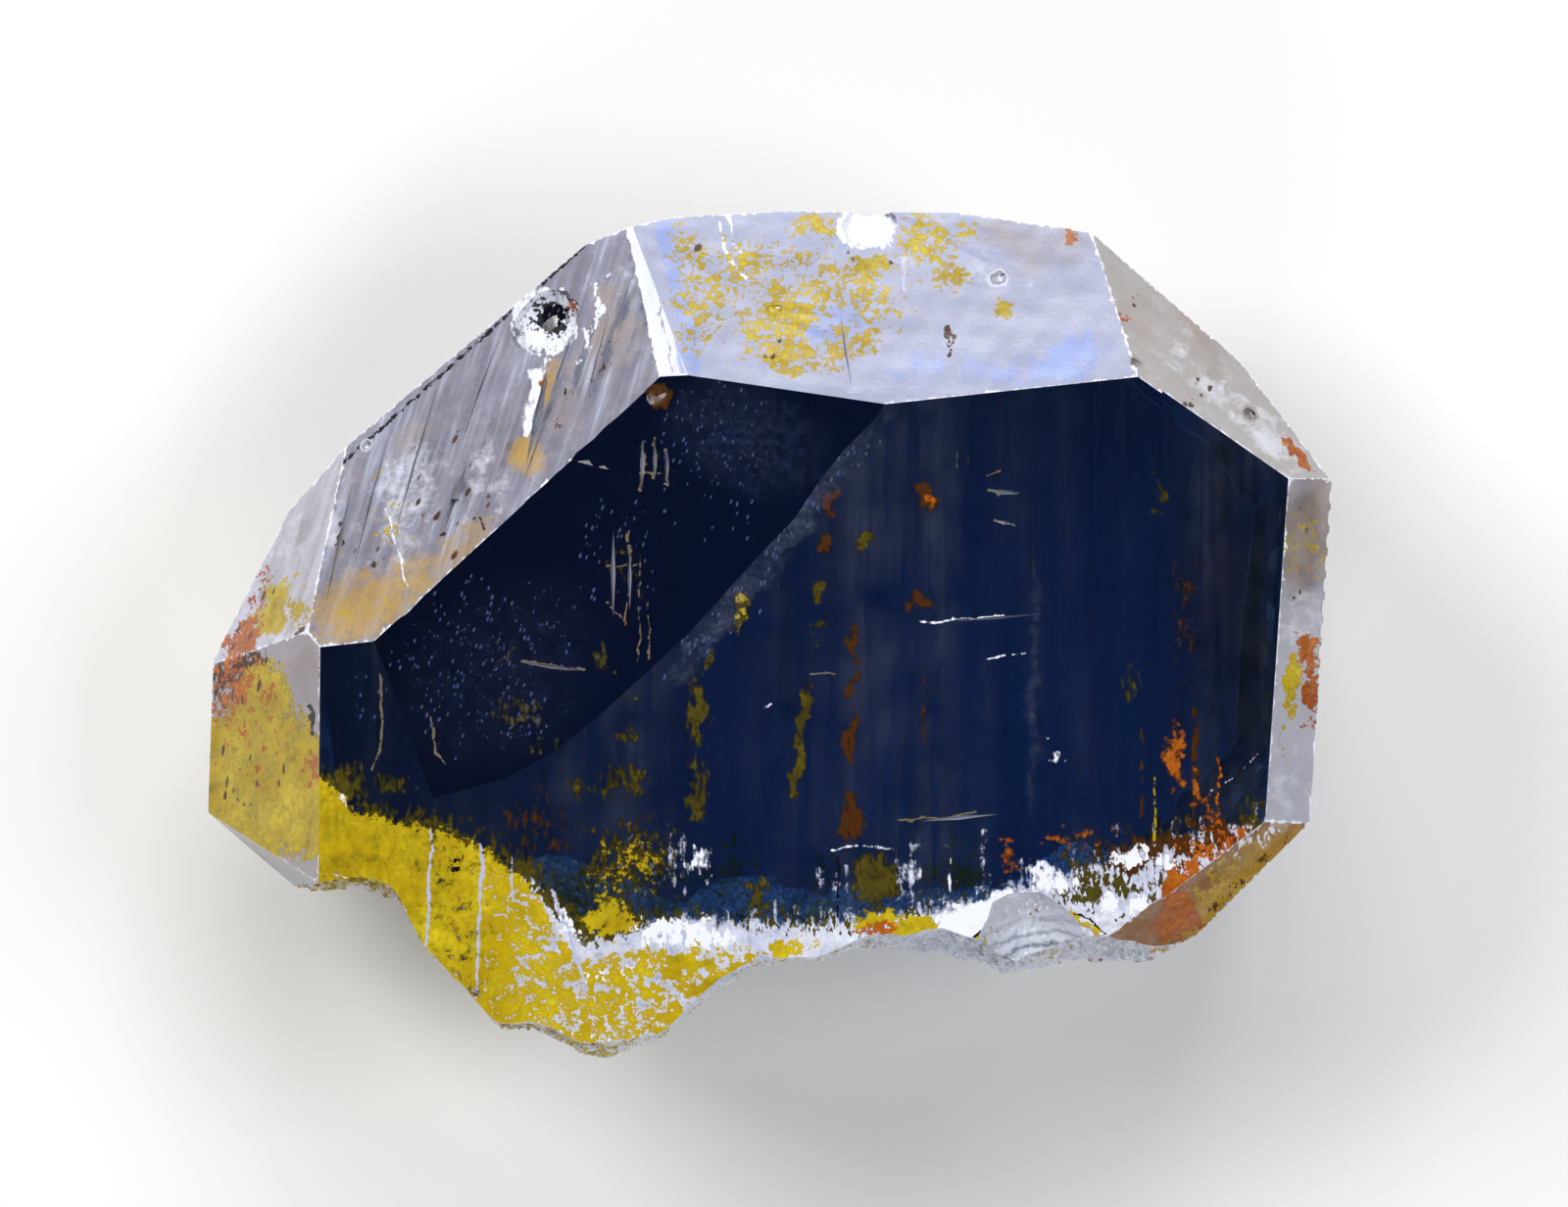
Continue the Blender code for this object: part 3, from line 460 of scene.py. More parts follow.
# The pits, as x, y and radius, and the marks that cover them whatever way their small faces look
PITS = (
    (-8.1, 11.56, 1.34), (-3.89, 8.71, 0.6), (3.7, 15.05, 1.15), (-14.7, 7.02, 0.26), (13.4, 9.95, 0.24),
    (17.6, 8.1, 0.3), (8.45, 13.1, 0.34), (0.3, 11.9, 0.36),
)
PIT_SPOTS = {
    "frost": ((1.5, -14.7, 7.02, 0.3, 0.3), (1.5, 8.45, 13.1, 0.5, 0.5),),
    "beige": ((1.5, 13.4, 9.95, 0.3, 0.3), (1.5, 17.6, 8.1, 0.4, 0.4),),
    "gold": ((1, 0.3, 11.9, 0.4, 0.4),),
    "white": ((1.3, 3.62, 14.95, 1.1, 0.7, -5), (1.05, -8.1, 11.56, 1.3, 1.26),),
    "specks": ((1, -8.1, 11.56, 1.3, 1.3),),
    "slate": ((0.7, -8.1, 11.56, 1.05, 1),),
    # Painted shade in the hollow of the largest pit
    "dark": ((0.8, -7.95, 11.7, 0.85, 0.72),),
    "umber": ((1, -7.25, 12.2, 0.45, 0.35), (1.1, -3.89, 8.71, 0.52, 0.5),),
    "rust": ((0.7, -7.15, 12.1, 0.3, 0.25),),
    "olive": ((0.8, -3.89, 8.8, 0.4, 0.35),),
}


def linear(code):
    """Linear red, green and blue of an sRGB hex value, by the standard curve."""
    parts = [int(code[i : i + 2], 16) / 255 for i in (1, 3, 5)]
    return tuple(c / 12.92 if c <= 0.04045 else ((c + 0.055) / 1.055) ** 2.4 for c in parts)


def colour_property(name, description, code):
    """A colour that the sidebar shows, from its hex value."""
    return bpy.props.FloatVectorProperty(
        name=name, description=description, default=linear(code), subtype="COLOR", min=0, max=1
    )


def length_property(name, description, metres):
    """A length that the sidebar shows."""
    return bpy.props.FloatProperty(
        name=name, description=description, default=metres, unit="LENGTH", subtype="DISTANCE", precision=5
    )


class CrystalSettings(bpy.types.PropertyGroup):
    """Sizes and colours of the crystal's surface."""

    net: length_property("Net", "Distance between the points that fill the upper faces", 0.00022)
    coarse_net: length_property("Coarse net", "Distance between the points of the other faces", 0.00050)
    growth_relief: length_property("Growth relief", "Height of the growth lines on the flat faces", 0.000012)
    break_relief: length_property("Break relief", "Height of the fine relief on the broken end", 0.00010)
    streak: colour_property("Streaks", "Brown-grey of the steep streaks on the upper left slope", "#7c7474")
    gold: colour_property("Gold", "Bright yellow iron stain", "#bb9c0a")
    rust: colour_property("Rust", "Orange iron stain", "#a84e0a")
    umber: colour_property("Umber", "Brown iron stain", "#4a2a0e")
    olive: colour_property("Olive", "Yellow-brown stain seen deep in the dark window", "#453d12")
    # Broken, frosted white quartz, and also the colour of the painted highlights on sharp edges and on the
    # upper left slope
    white: colour_property("White", "Broken, frosted quartz", "#f2f4ff")
    pale: colour_property("Pale", "Shattered quartz below the window", "#d9def2")
    lilac: colour_property("Lilac", "Gaps between the yellow stains", "#b9bcd8")
    amber: colour_property("Amber", "Soft iron stain seen through the upper left slope", "#cfa42c")
    blue: colour_property("Blue light", "Light-blue patches on the top face", "#9ab0ee")
    beige: colour_property("Beige", "Warm grey patches on the etched faces", "#a2948a")
    slate: colour_property("Slate", "Blue-grey grooves", "#59627c")
    frost: colour_property("Frost", "White bloom on the etched faces", "#e9ebf6")
    # Painted shade: a brown darkening of the crystal's right end, on the window and the faces beside it
    smoke: colour_property("Smoke", "Brown veil at the right end of the window", "#5a4838")
    haze: colour_property("Haze", "Faint lilac veil in the dark window", "#46507c")
    bone: colour_property("Bone", "Etched scratches", "#6e6450")
    # Painted shade: near black for hollows, cracks and the slope's second bevel
    dark: colour_property("Dark", "Hollows and cracks", "#0c0c10")


class StageSettings(bpy.types.PropertyGroup):
    """The floor, the light and the camera."""

    floor: colour_property("Floor", "Colour of the floor", "#e6e5e3")
    strength: bpy.props.FloatProperty(
        name="Light strength", description="Power of the main soft light in watts", default=1.1, min=0
    )
    lens: bpy.props.FloatProperty(
        name="Lens", description="Focal length", default=250.0, unit="CAMERA", subtype="DISTANCE_CAMERA"
    )


def spot_cover(x, y, spots):
    """How far each point is covered by spots.

    A spot gives its cover times one less half the squared distance to its centre, where the distance is
    one on its ellipse. The highest spot counts.
    """
    total = np.zeros_like(x)
    for cover, cx, cy, rx, ry, *turn in spots:
        angle = math.radians(sum(turn))
        c, s = math.cos(angle), math.sin(angle)
        u = ((x - cx) * c + (y - cy) * s) / rx
        v = ((y - cy) * c - (x - cx) * s) / ry
        total = np.maximum(total, cover * np.clip(1 - 0.5 * (u * u + v * v), 0, 1))
    return total


def stretches(path):
    """The straight stretches of a line from the x and y of its points."""
    stops = list(zip(path[0::2], path[1::2]))
    return zip(stops, stops[1:])


def line_cover(x, y, lines):
    """The same for narrow lines: cover times one less half the squared distance in half widths."""
    total = np.zeros_like(x)
    for cover, half_width, *path in lines:
        for (ax, ay), (bx, by) in stretches(path):
            dx, dy = bx - ax, by - ay
            along = np.clip(((x - ax) * dx + (y - ay) * dy) / (dx * dx + dy * dy), 0, 1)
            gap = np.hypot(x - ax - along * dx, y - ay - along * dy) / half_width
            total = np.maximum(total, cover * np.clip(1 - 0.5 * gap * gap, 0, 1))
    return total


def waves(x, y, seed, count, shortest, longest, spread=math.pi, turn=0.0):
    """A sum of sine waves of random length, direction and phase, scaled to about -1 to 1."""
    random = np.random.default_rng(seed)
    total = np.zeros_like(x)
    for _ in range(count):
        length = random.uniform(shortest, longest)
        angle = turn + random.uniform(-spread, spread)
        phase = random.uniform(0, 2 * math.pi)
        total += np.sin(2 * math.pi * (x * math.cos(angle) + y * math.sin(angle)) / length + phase)
    return total / math.sqrt(count)


def wandering(x, y, seed, size):
    """Shifts that make a drawn outline wander: sines of 0.7 to 2 mm, and half as strong of 0.2 to 0.6 mm."""
    return size * (waves(x, y, seed, 8, 0.7, 2.0) + 0.5 * waves(x, y, seed + 1, 10, 0.2, 0.6))


def inside_and_margin(points, outline, sharp):
    """For each point: whether it is in the outline, and its distance to the nearest side and sharp side.

    A point is inside where a level ray to its right crosses the outline an odd number of times.
    """
    inside = np.zeros(len(points), bool)
    margin = np.full((len(points), 2), np.inf)
    for a, b, edge_highlight in zip(outline, np.roll(outline, -1, axis=0), sharp):
        crosses = (a[1] > points[:, 1]) != (b[1] > points[:, 1])
        rise = b[1] - a[1]
        where = a[0] + (points[:, 1] - a[1]) * (b[0] - a[0]) / (rise if rise else 1.0)
        inside ^= crosses & (points[:, 0] < where)
        side = b - a
        along = np.clip(((points - a) @ side) / max(side @ side, 1e-12), 0, 1)
        gap = np.linalg.norm(points - a - along[:, None] * side, axis=1)
        margin[:, 0] = np.minimum(margin[:, 0], gap)
        if edge_highlight:
            margin[:, 1] = np.minimum(margin[:, 1], gap)
    return inside, margin


def hexagonal_net(outline, sharp, spacing):
    """Rows of points, every second row shifted by half a step, kept where they lie inside the outline."""
    low, high = outline.min(axis=0), outline.max(axis=0)
    ys = np.arange(low[1] + spacing / 2, high[1], spacing * math.sqrt(3) / 2)
    xs = np.arange(low[0] + spacing / 2, high[0], spacing)
    if not len(xs) or not len(ys):
        return np.zeros((0, 2)), np.zeros((0, 2))
    x, y = np.meshgrid(xs, ys)
    x = x + (np.arange(len(ys)) % 2)[:, None] * spacing / 2
    points = np.stack([x.ravel(), y.ravel()], axis=1)
    inside, margin = inside_and_margin(points, outline, sharp)
    kept = inside & (margin[:, 0] > NET_ROOM * spacing)
    return points[kept], margin[kept]


def sharp_sides(face):
    """For each side of a face, whether it is a true edge of the crystal: sharp, between two large faces, and
    given the painted white highlight.
    """
    sides = []
    for loop in face.loops:
        areas = [neighbour.calc_area() for neighbour in loop.edge.link_faces]
        sides.append(min(areas) > EDGE_HIGHLIGHT_AREA and loop.edge.calc_face_angle(0) > EDGE_HIGHLIGHT_ANGLE)
    return sides


def face_axes(normal):
    """Two directions in a face's plane that make a right-handed frame with its normal."""
    side = np.cross((0.0, 1.0, 0.0), normal)
    if np.linalg.norm(side) < 1e-3:
        side = np.array((1.0, 0.0, 0.0))
    side = side / np.linalg.norm(side)
    return side, np.cross(normal, side)


def detail_points(face):
    """Plan points of a closer net on the narrow lines and small spots of a face.

    A line gets five rows of points side by side, and a small spot gets a sunflower of points: each is
    turned by the golden angle from the last, at a radius that grows with the root of its number.
    """
    plan = [np.zeros((0, 2))]
    for _, half_width, *path in sum(LINES.get(face, {}).values(), ()):
        for (ax, ay), (bx, by) in stretches(path):
            length = math.hypot(bx - ax, by - ay)
            along = np.linspace(0, 1, max(2, int(length / DETAIL_STEP)))
            side = np.array((by - ay, ax - bx)) / length
            for offset in LINE_ROWS:
                row = np.stack([ax + along * (bx - ax), ay + along * (by - ay)], axis=1)
                plan.append(row + side * offset * half_width)
    for _, cx, cy, rx, ry, *turn in sum(SPOTS.get(face, {}).values(), ()):
        if min(rx, ry) > SMALL_SPOT:
            continue
        count = int(4 * rx * ry / DETAIL_STEP**2) + 8
        number = np.arange(count) + 0.5
        radius, angle = SPOT_REACH * np.sqrt(number / count), number * math.pi * (3 - math.sqrt(5))
        c, s = math.cos(math.radians(sum(turn))), math.sin(math.radians(sum(turn)))
        u, v = radius * np.cos(angle) * rx, radius * np.sin(angle) * ry
        plan.append(np.stack([cx + u * c - v * s, cy + u * s + v * c], axis=1))
    return np.concatenate(plan)


def filled_faces(shape, kinds, spacings):
    """Points, triangles, each triangle's face number, and each point's distance to an edge and sharp edge.

    Every flat face is filled with a hexagonal net of points inside its own outline, joined to that
    outline by a Delaunay triangulation, so that neighbours share the points along their edge.
    """
    points = [np.array([v.co for v in shape.verts]) / MM]
    margins = [np.tile((0.0, 9.0), (len(shape.verts), 1))]
    count = len(shape.verts)
    triangles, owners = [], []
    details = [detail_points(name) for name in FACES]
    for number, face in enumerate(shape.faces):
        normal = np.array(face.normal)
        corners = np.array([v.index for v in face.verts])
        if len(corners) == 3:
            triangles.append(corners[None])
            owners.append(number)
            continue
        side, up = face_axes(normal)
        outline = points[0][corners]
        level = (outline @ normal).mean()
        flat = np.stack([outline @ side, outline @ up], axis=1)
        sharp = sharp_sides(face)
        ends = [vertex for loop, edge_highlight in zip(face.loops, sharp) if edge_highlight for vertex in loop.edge.verts]
        margins[0][[vertex.index for vertex in ends], 1] = 0.0
        inner, margin = hexagonal_net(flat, sharp, spacings[number])
        if kinds[number] >= 0 and len(details[kinds[number]]):
            plan = details[kinds[number]]
            there = np.column_stack([plan, (level - plan @ normal[:2]) / normal[2]])
            spots = np.stack([there @ side, there @ up], axis=1)
            inside, distance = inside_and_margin(spots, flat, sharp)
            kept = inside & (distance[:, 0] > DETAIL_ROOM)
            inner, margin = np.concatenate([inner, spots[kept]]), np.concatenate([margin, distance[kept]])
        everything = np.concatenate([flat, inner])
        rim = [(i, (i + 1) % len(flat)) for i in range(len(flat))]
        made = delaunay_2d_cdt([Vector(p) for p in everything.tolist()], rim, [], 1, 1e-7)
        source = np.array([origin[0] if origin else -1 for origin in made[3]])
        found = np.array(made[2]).reshape(-1, 3)
        numbers = np.concatenate([corners, count + np.arange(len(inner))])
        triangles.append(numbers[source[found]])
        owners.append(number)
        points.append(inner[:, :1] * side + inner[:, 1:] * up + level * normal)
        margins.append(margin)
        count += len(inner)
    owners = np.repeat(owners, [len(part) for part in triangles])
    return np.concatenate(points), np.concatenate(triangles), owners, np.concatenate(margins)


def clean_shape(node):
    """The solid with its doubled points merged and each flat face made one polygon again."""
    shape = bmesh.new()
    shape.from_mesh(node.data)
    bmesh.ops.remove_doubles(shape, verts=shape.verts, dist=DOUBLES)
    bmesh.ops.dissolve_limit(shape, angle_limit=FLAT_ANGLE, verts=shape.verts, edges=shape.edges)
    return shape


def on_break(face):
    """Whether a face belongs to the rough broken end: small, and near the lower outline."""
    x, y, _ = face.calc_center_median() / MM
    return face.calc_area() < BREAK_FACE * MM * MM and y < BREAK_TOP and BREAK_ENDS[0] < x < BREAK_ENDS[1]


def is_sliver(face):
    """Whether a face is so narrow, by twice its area over its length, that it can't be seen as a face."""
    length = np.linalg.norm(np.ptp([vertex.co for vertex in face.verts], axis=0))
    return 2 * face.calc_area() < SLIVER_WIDTH * length


def divide_long_edges(shape, spacing):
    """Cuts every edge longer than the spacing into equal lengths."""
    groups = {}
    for edge in shape.edges:
        cuts = int(edge.calc_length() / spacing)
        if cuts:
            groups.setdefault(min(cuts, MOST_CUTS), []).append(edge)
    for cuts, edges in sorted(groups.items()):
        bmesh.ops.bisect_edges(shape, edges=edges, cuts=cuts)


def crystal_surface(settings):
    """The crystal's fine net: points, triangles, owners, the faces' normals and kinds, and margins."""
    shape = clean_shape(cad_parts[NODE])
    tag = shape.faces.layers.int.new("broken")
    broken = [face for face in shape.faces if on_break(face)]
    for face in broken:
        face[tag] = 1
    bmesh.ops.triangulate(shape, faces=broken)
    rough_edges = [edge for edge in shape.edges if any(face[tag] for face in edge.link_faces)]
    bmesh.ops.subdivide_edges(shape, edges=rough_edges, cuts=2, use_grid_fill=True)
    divide_long_edges(shape, settings.net)
    bmesh.ops.triangulate(shape, faces=[face for face in shape.faces if face[tag]])
    shape.verts.index_update()
    shape.normal_update()
    normals = np.array([face.normal for face in shape.faces])
    centres = np.array([face.calc_center_median() for face in shape.faces]) / MM
    areas = np.array([face.calc_area() for face in shape.faces]) / MM**2
    kinds = face_kinds(normals, centres, areas, np.array([face[tag] for face in shape.faces]))
    for face in shape.faces:
        if kinds[face.index] == SIDE and is_sliver(face):
            beside = [other for edge in face.edges for other in edge.link_faces if other is not face]
            largest = max(beside, key=lambda other: other.calc_area())
            kinds[face.index] = kinds[largest.index]
            normals[face.index] = normals[largest.index]
    looks_up = np.array([face.normal.z > 0.1 for face in shape.faces])
    spacings = np.where(looks_up, settings.net / MM, settings.coarse_net / MM)
    points, triangles, owners, margins = filled_faces(shape, kinds, spacings)
    shape.free()
    single = without_folds(triangles)
    return points, triangles[single], owners[single], normals, kinds, margins


def without_folds(triangles):
    """Which triangles to keep: two on the same three points are a fold of no thickness and both go."""
    _, number, times = np.unique(np.sort(triangles, axis=1), axis=0, return_inverse=True, return_counts=True)
    return times[number.ravel()] == 1


def face_kinds(normals, centres, areas, broken):
    """For each flat face, the number of the named face that it belongs to, or PIT, BREAK or SIDE."""
    looks = np.array([face[0] for face in FACES.values()])
    looks = looks / np.linalg.norm(looks, axis=1)[:, None]
    match = normals @ looks.T
    kind = np.where(match.max(axis=1) > LIKE_NAMED, match.argmax(axis=1), SIDE)
    kind[(kind == KIND["largest"]) & (centres[:, 2] < TOP - TOP_REACH)] = SIDE
    kind[broken > 0] = BREAK
    for px, py, radius in PITS:
        near = np.hypot(centres[:, 0] - px, centres[:, 1] - py) < PIT_REACH * radius
        kind[(kind == SIDE) & near & (areas < PIT_FACE)] = PIT
    return kind


def is_one_of(kind, names):
    """Where the kind of face is one of those named."""
    return np.isin(kind, [KIND[name] for name in names])


def surface_relief(points, triangles, owners, normals, kind, margins, settings):
    """Moves each point a little inwards along its face's normal.

    Flat faces get shallow growth lines: sines across the streaks on the slope, across the length on the
    largest face, and in all directions elsewhere, faded to nothing towards each edge. The broken end
    gets ripples and grain that fade where it meets a flat face.
    """
    owner = np.zeros(len(points), int)
    owner[triangles.ravel()] = np.repeat(owners, 3)
    broken = kind[owners] == BREAK
    shared = np.zeros(len(points), bool)
    shared[triangles[~broken].ravel()] = True
    rough = np.zeros(len(points), bool)
    rough[triangles[broken].ravel()] = True
    x, y, z = points.T
    grown = waves(x, y, *RELIEF["grown"])
    steep = waves(x, y, *RELIEF["steep"])
    upright = waves(x, y, *RELIEF["upright"])
    slope = is_one_of(kind[owner], ("upper_left", "left_shoulder", "narrow_bevel"))
    flat = is_one_of(kind[owner], ("largest", "strip", "right", "back"))
    height = np.where(slope, steep, np.where(flat, 0.4 * upright, grown))
    fade = np.clip(margins[:, 0] / GROWTH_FADE, 0, 1)
    depth = settings.growth_relief / MM * np.maximum(1.5 + height, 0) * fade
    ripples = waves(x + 0.7 * z, z - 0.4 * y, *RELIEF["ripples"])
    grain = ripples + waves(x, 2.2 * z, *RELIEF["crumbs"])
    sunk = settings.break_relief / MM * np.clip(1.2 + grain, 0, 3) * np.clip((TOP - z) / 1.5, 0, 1)
    depth = np.where(rough & ~shared, sunk, depth)
    total = np.zeros_like(points)
    for k in range(3):
        np.add.at(total, triangles[:, k], normals[owners])
    total /= np.maximum(np.linalg.norm(total, axis=1), 1e-9)[:, None]
    inward = np.where(rough[:, None], total, normals[owner])
    return points - depth[:, None] * inward


def corner_marks(x, y, z, kind, margin):
    """The cover of each kind of mark at each corner of each triangle.

    Spots and lines are looked up at a place that wanders a little from the corner's own. Below the
    window's border the quartz is shattered and stains rise into it, the tooth is filled with gold, the
    broken end and the plain sides change in cover along the crystal, and rims get a painted highlight.
    """
    marks = {name: np.zeros_like(x) for name in STAINS + ("specks", "dots", "haze")}
    shift_x, shift_y = wandering(x, y, 21, 0.13), wandering(x, y, 31, 0.16)
    sway = wandering(x, y, 41, 0.04)
    for face, number in KIND.items():
        at = kind == number
        spots, lines = SPOTS.get(face, {}), LINES.get(face, {})
        for name in sorted(set(spots) | set(lines)):
            spotted = spot_cover(x[at] + shift_x[at], y[at] + shift_y[at], spots.get(name, ()))
            lined = line_cover(x[at] + sway[at], y[at] + sway[at], lines.get(name, ()))
            marks[name][at] = np.maximum(marks[name][at], np.maximum(spotted, lined))
    pit = np.zeros(len(x), bool)
    for px, py, radius in PITS:
        pit |= (np.hypot(x - px, y - py) < radius) & (kind != SIDE)
    for name, cover in marks.items():
        cover[pit] = spot_cover(x[pit], y[pit], PIT_SPOTS.get(name, ()))

    # Shattered quartz below the window, and stains that rise from it
    window = is_one_of(kind, CLEAR_FACES)
    along = {name: np.interp(x, *steps) for name, steps in ALONG.items()}
    below = np.interp(x, *np.transpose(WINDOW_BORDER)) - y
    shattered = np.clip(0.5 + below / 1.1, 0, 1.3) * along["shattered"]
    rising = np.clip(1 + below / 1.9, 0, 1) * np.clip(1.5 - below / 0.8, 0, 1)
    filled = np.clip(along["tooth"] + below / 0.9, 0, 1)
    for name, cover, where in (
        ("pale", np.maximum(shattered, rising * along["window_pale"]), window),
        ("olive", rising * along["window_olive"], window),
        ("gold", filled * along["tooth_gold"], window & (x < GOLD_END)),
    ):
        marks[name] = np.maximum(marks[name], cover * where)

    # The broken end, the plain sides and the back
    broken, plain, back = kind == BREAK, kind == SIDE, kind == KIND["back"]
    lump = waves(x, z, *RELIEF["lumps"])
    for name, cover, where in (
        ("gold", along["break_gold"] + 0.10 * lump, broken),
        ("rust", along["break_rust"] - 0.10 * lump, broken),
        ("frost", 0.40 - 0.20 * lump, broken),
        ("gold", along["side_gold"] + 0.10 * lump, plain),
        ("dots", along["side_dots"], plain),
        ("beige", 0.45 + 0.15 * lump, plain),
        ("gold", np.interp(y, *BACK_GOLD) + 0.10 * lump, back),
    ):
        marks[name] = np.where(where, cover, marks[name])
    without_edge_highlight = window | broken | plain
    # Where the painted shade of the shell's ripples lies
    away = np.sqrt((x - SHELL[0]) ** 2 + (y - SHELL[1]) ** 2 + (z - TOP) ** 2)
    marks["shell"] = np.clip(2.0 - 2.0 * away / SHELL[2], 0, 1) * without_edge_highlight
    # Painted highlight: white along the sharp edges of the etched faces, for light caught on their rims
    edge_highlight = EDGE_HIGHLIGHT_COVER * np.clip(1 - margin / EDGE_HIGHLIGHT_WIDTH, 0, 1)
    marks["white"] = np.maximum(marks["white"], np.where(without_edge_highlight | back, 0.0, edge_highlight))
    return marks


class QUARTZ_OT_crystal(bpy.types.Operator):
    """Make the crystal's fine surface over its solid, and its clear, etched and stained quartz with painted
    highlights and shade
    """

    bl_idname = "quartz.crystal"
    bl_label = "Crystal"

    def execute(self, context):
        settings = context.scene.quartz_crystal_settings
        points, triangles, owners, normals, kind, margins = crystal_surface(settings)
        finished = surface_relief(points, triangles, owners, normals, kind, margins, settings)
        mesh = bpy.data.meshes.new("crystal")
        mesh.from_pydata((finished * MM).tolist(), [], triangles.tolist())
        corners = triangles.ravel()
        kinds = np.repeat(kind[owners], 3)
        etch, ground, polish = zip(*[face[1:] for face in FACES.values()], *OTHER_GROUNDS)
        values = {
            "etch": np.array(etch)[kinds],
            "polish": np.array(polish)[kinds],
            "slope": is_one_of(kinds, ("upper_left", "left_shoulder")),
            "window": is_one_of(kinds, ("largest", "strip")),
            "side": (kinds == SIDE) | (kinds == KIND["foot"]),
            **corner_marks(*points[corners].T, kinds, margins[corners, 1]),
        }
        for name, numbers in values.items():
            layer = mesh.attributes.new(name, "FLOAT", "CORNER")
            layer.data.foreach_set("value", np.asarray(numbers, np.float32))
        colours = np.array([(*linear(code), 1.0) for code in ground], np.float32)[kinds]
        layer = mesh.attributes.new("ground", "FLOAT_COLOR", "CORNER")
        layer.data.foreach_set("color", colours.ravel())
        mesh.validate()
        piece = bpy.data.objects.new("crystal", mesh)
        context.scene.collection.objects.link(piece)
        mesh.materials.append(quartz_material(settings))
        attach(piece, "root")
        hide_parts(NODE)
        return {"FINISHED"}


def add_node(tree, kind, *inputs, named=(), out=0, **settings):
    """Adds a node of a kind, or of a kind and operation such as Math.ADD, and gives one of its outputs.

    Its inputs come in order, or by name or number in `named`. Each is a value or another node's output.
    """
    kind, _, operation = kind.partition(".")
    node = tree.nodes.new("ShaderNode" + kind)
    if operation:
        node.operation = operation
    for name, value in settings.items():
        setattr(node, name, value)
    for key, value in [*enumerate(inputs), *dict(named).items()]:
        if isinstance(value, bpy.types.NodeSocket):
            tree.links.new(value, node.inputs[key])
        else:
            node.inputs[key].default_value = value
    return node if out is None else node.outputs[out]


def new_material(name):
    """An empty node material, and the function that adds a node to it."""
    material = bpy.data.materials.new(name)
    material.use_nodes = True
    material.node_tree.nodes.clear()
    return material, partial(add_node, material.node_tree)


# Spaces that the patterns are read in, made from the crystal's own: drawn out along the steep streaks,
# upright, level or a little upright, stretched along the streaks for grains, and centred on the shell
SPACES = {
    "steep": {"Rotation": (0, 0, STREAK_TURN), "Scale": (1.0, 14.0, 14.0)},
    "grain": {"Rotation": (0, 0, STREAK_TURN), "Scale": (1.0, 2.2, 1.0)},
    "upright": {"Scale": (1.0, 0.06, 0.06)},
    "level": {"Scale": (0.05, 0.05, 1.0)},
    "tall": {"Scale": (1.0, 0.4, 0.4)},
    "shell": {"Location": (-SHELL[0] * MM, -SHELL[1] * MM, -TOP * MM)},
}
TURNED_SPACES = ("steep", "grain")
# Noises, each: space, scale in cells for each metre (4200 is 0.24 mm), detail, roughness, distortion
NOISES = {
    "fine": ("plain", 4200.0, 6.0, 0.66, 0.4),
    "lace": ("plain", 1400.0, 8.0, 0.72, 0.3),
    "coarse": ("plain", 420.0, 4.0, 0.55, 0.0),
    "steep": ("steep", 2600.0, 4.0, 0.6, 0.0),
    "upright": ("upright", 3200.0, 4.0, 0.65, 0.0),
    "level": ("level", 2000.0, 4.0, 0.62, 0.0),
    "wide": ("upright", 520.0, 2.0, 0.5, 0.0),
    "tall": ("tall", 5200.0, 5.0, 0.62, 0.0),
}
# The middle values of a noise that are stretched to the whole range from nought to one
NOISE_RANGE = (0.30, 0.70)
# Sums of two noises by weight: the veils of the window, and the edges of the stains
BLENDS = {
    "bands": (("upright", 0.42), ("wide", 0.42)),
    "ragged": (("upright", 0.4), ("lace", 0.6)),
    "flaky": (("tall", 0.6), ("lace", 0.4)),
    "lacy": (("fine", 0.6), ("lace", 0.4)),
}
# The noise at the edge of each stain, where it isn't the lacy one
EDGES = {
    "smoke": "wide",
    "beige": "coarse",
    "blue": "ragged",
    "frost": "lace",
    "slate": "steep",
    "pale": "ragged",
    "olive": "flaky",
    "umber": "flaky",
    "white": "flaky",
}
# Streaks, veils and bloom laid over the ground, each: colour, mark that it follows, share, noise, whether
# it lies where the noise is low, and the power that narrows it
GROWTH = (
    ("streak", "slope", 0.62, "steep", False, 2.0),
    ("pale", "slope", 1.0, "steep", True, 4.0),
    ("slate", "window", 1.0, "bands", False, 1.0),
    # On the plain sides: brown-grey bands are painted shade and frost bands painted light on their level
    # striations
    ("streak", "side", 1.0, "level", False, 2.0),
    ("frost", "side", 1.0, "level", True, 3.0),
    ("slate", "etch", 0.32, "coarse", False, 1.0),
    ("frost", "etch", 0.35, "lace", False, 3.0),
)
# Bright etch pits and brown grains of iron, each: colour, cells for each metre, size, opacity
GRAINS = {"specks": ("haze", 8200.0, 0.31, 0.75), "dots": ("umber", 3600.0, 0.38, 0.9)}
MARKS = STAINS + ("specks", "dots", "haze", "shell", "etch", "polish", "slope", "window", "side")

# Quartz's index of refraction, and its absorption here: the colour that it lets through, and its density
QUARTZ_IOR = 1.545
ABSORPTION = (0.10, 0.52, 0.78, 1.0)
ABSORPTION_DENSITY = 122.0
# Height of the bump in metres, and the polished skin's roughness
BUMP_HEIGHT = 0.000016
POLISHED = 0.02
# The most that a soft stain tints and that a thin, a thick or any opaque skin hides
SOFT_TINT, THIN_HIDES, THICK_HIDES, SKIN_HIDES = 0.72, 0.86, 0.92, 0.9
# A hard stain has its full colour once its opacity is one over this
COLOUR_FIRST = 6.0
# A grain is there where its mark plus a random value pass this, and how sharply it ends
GRAIN_LIMIT, GRAIN_EDGE = 1.25, 5.0


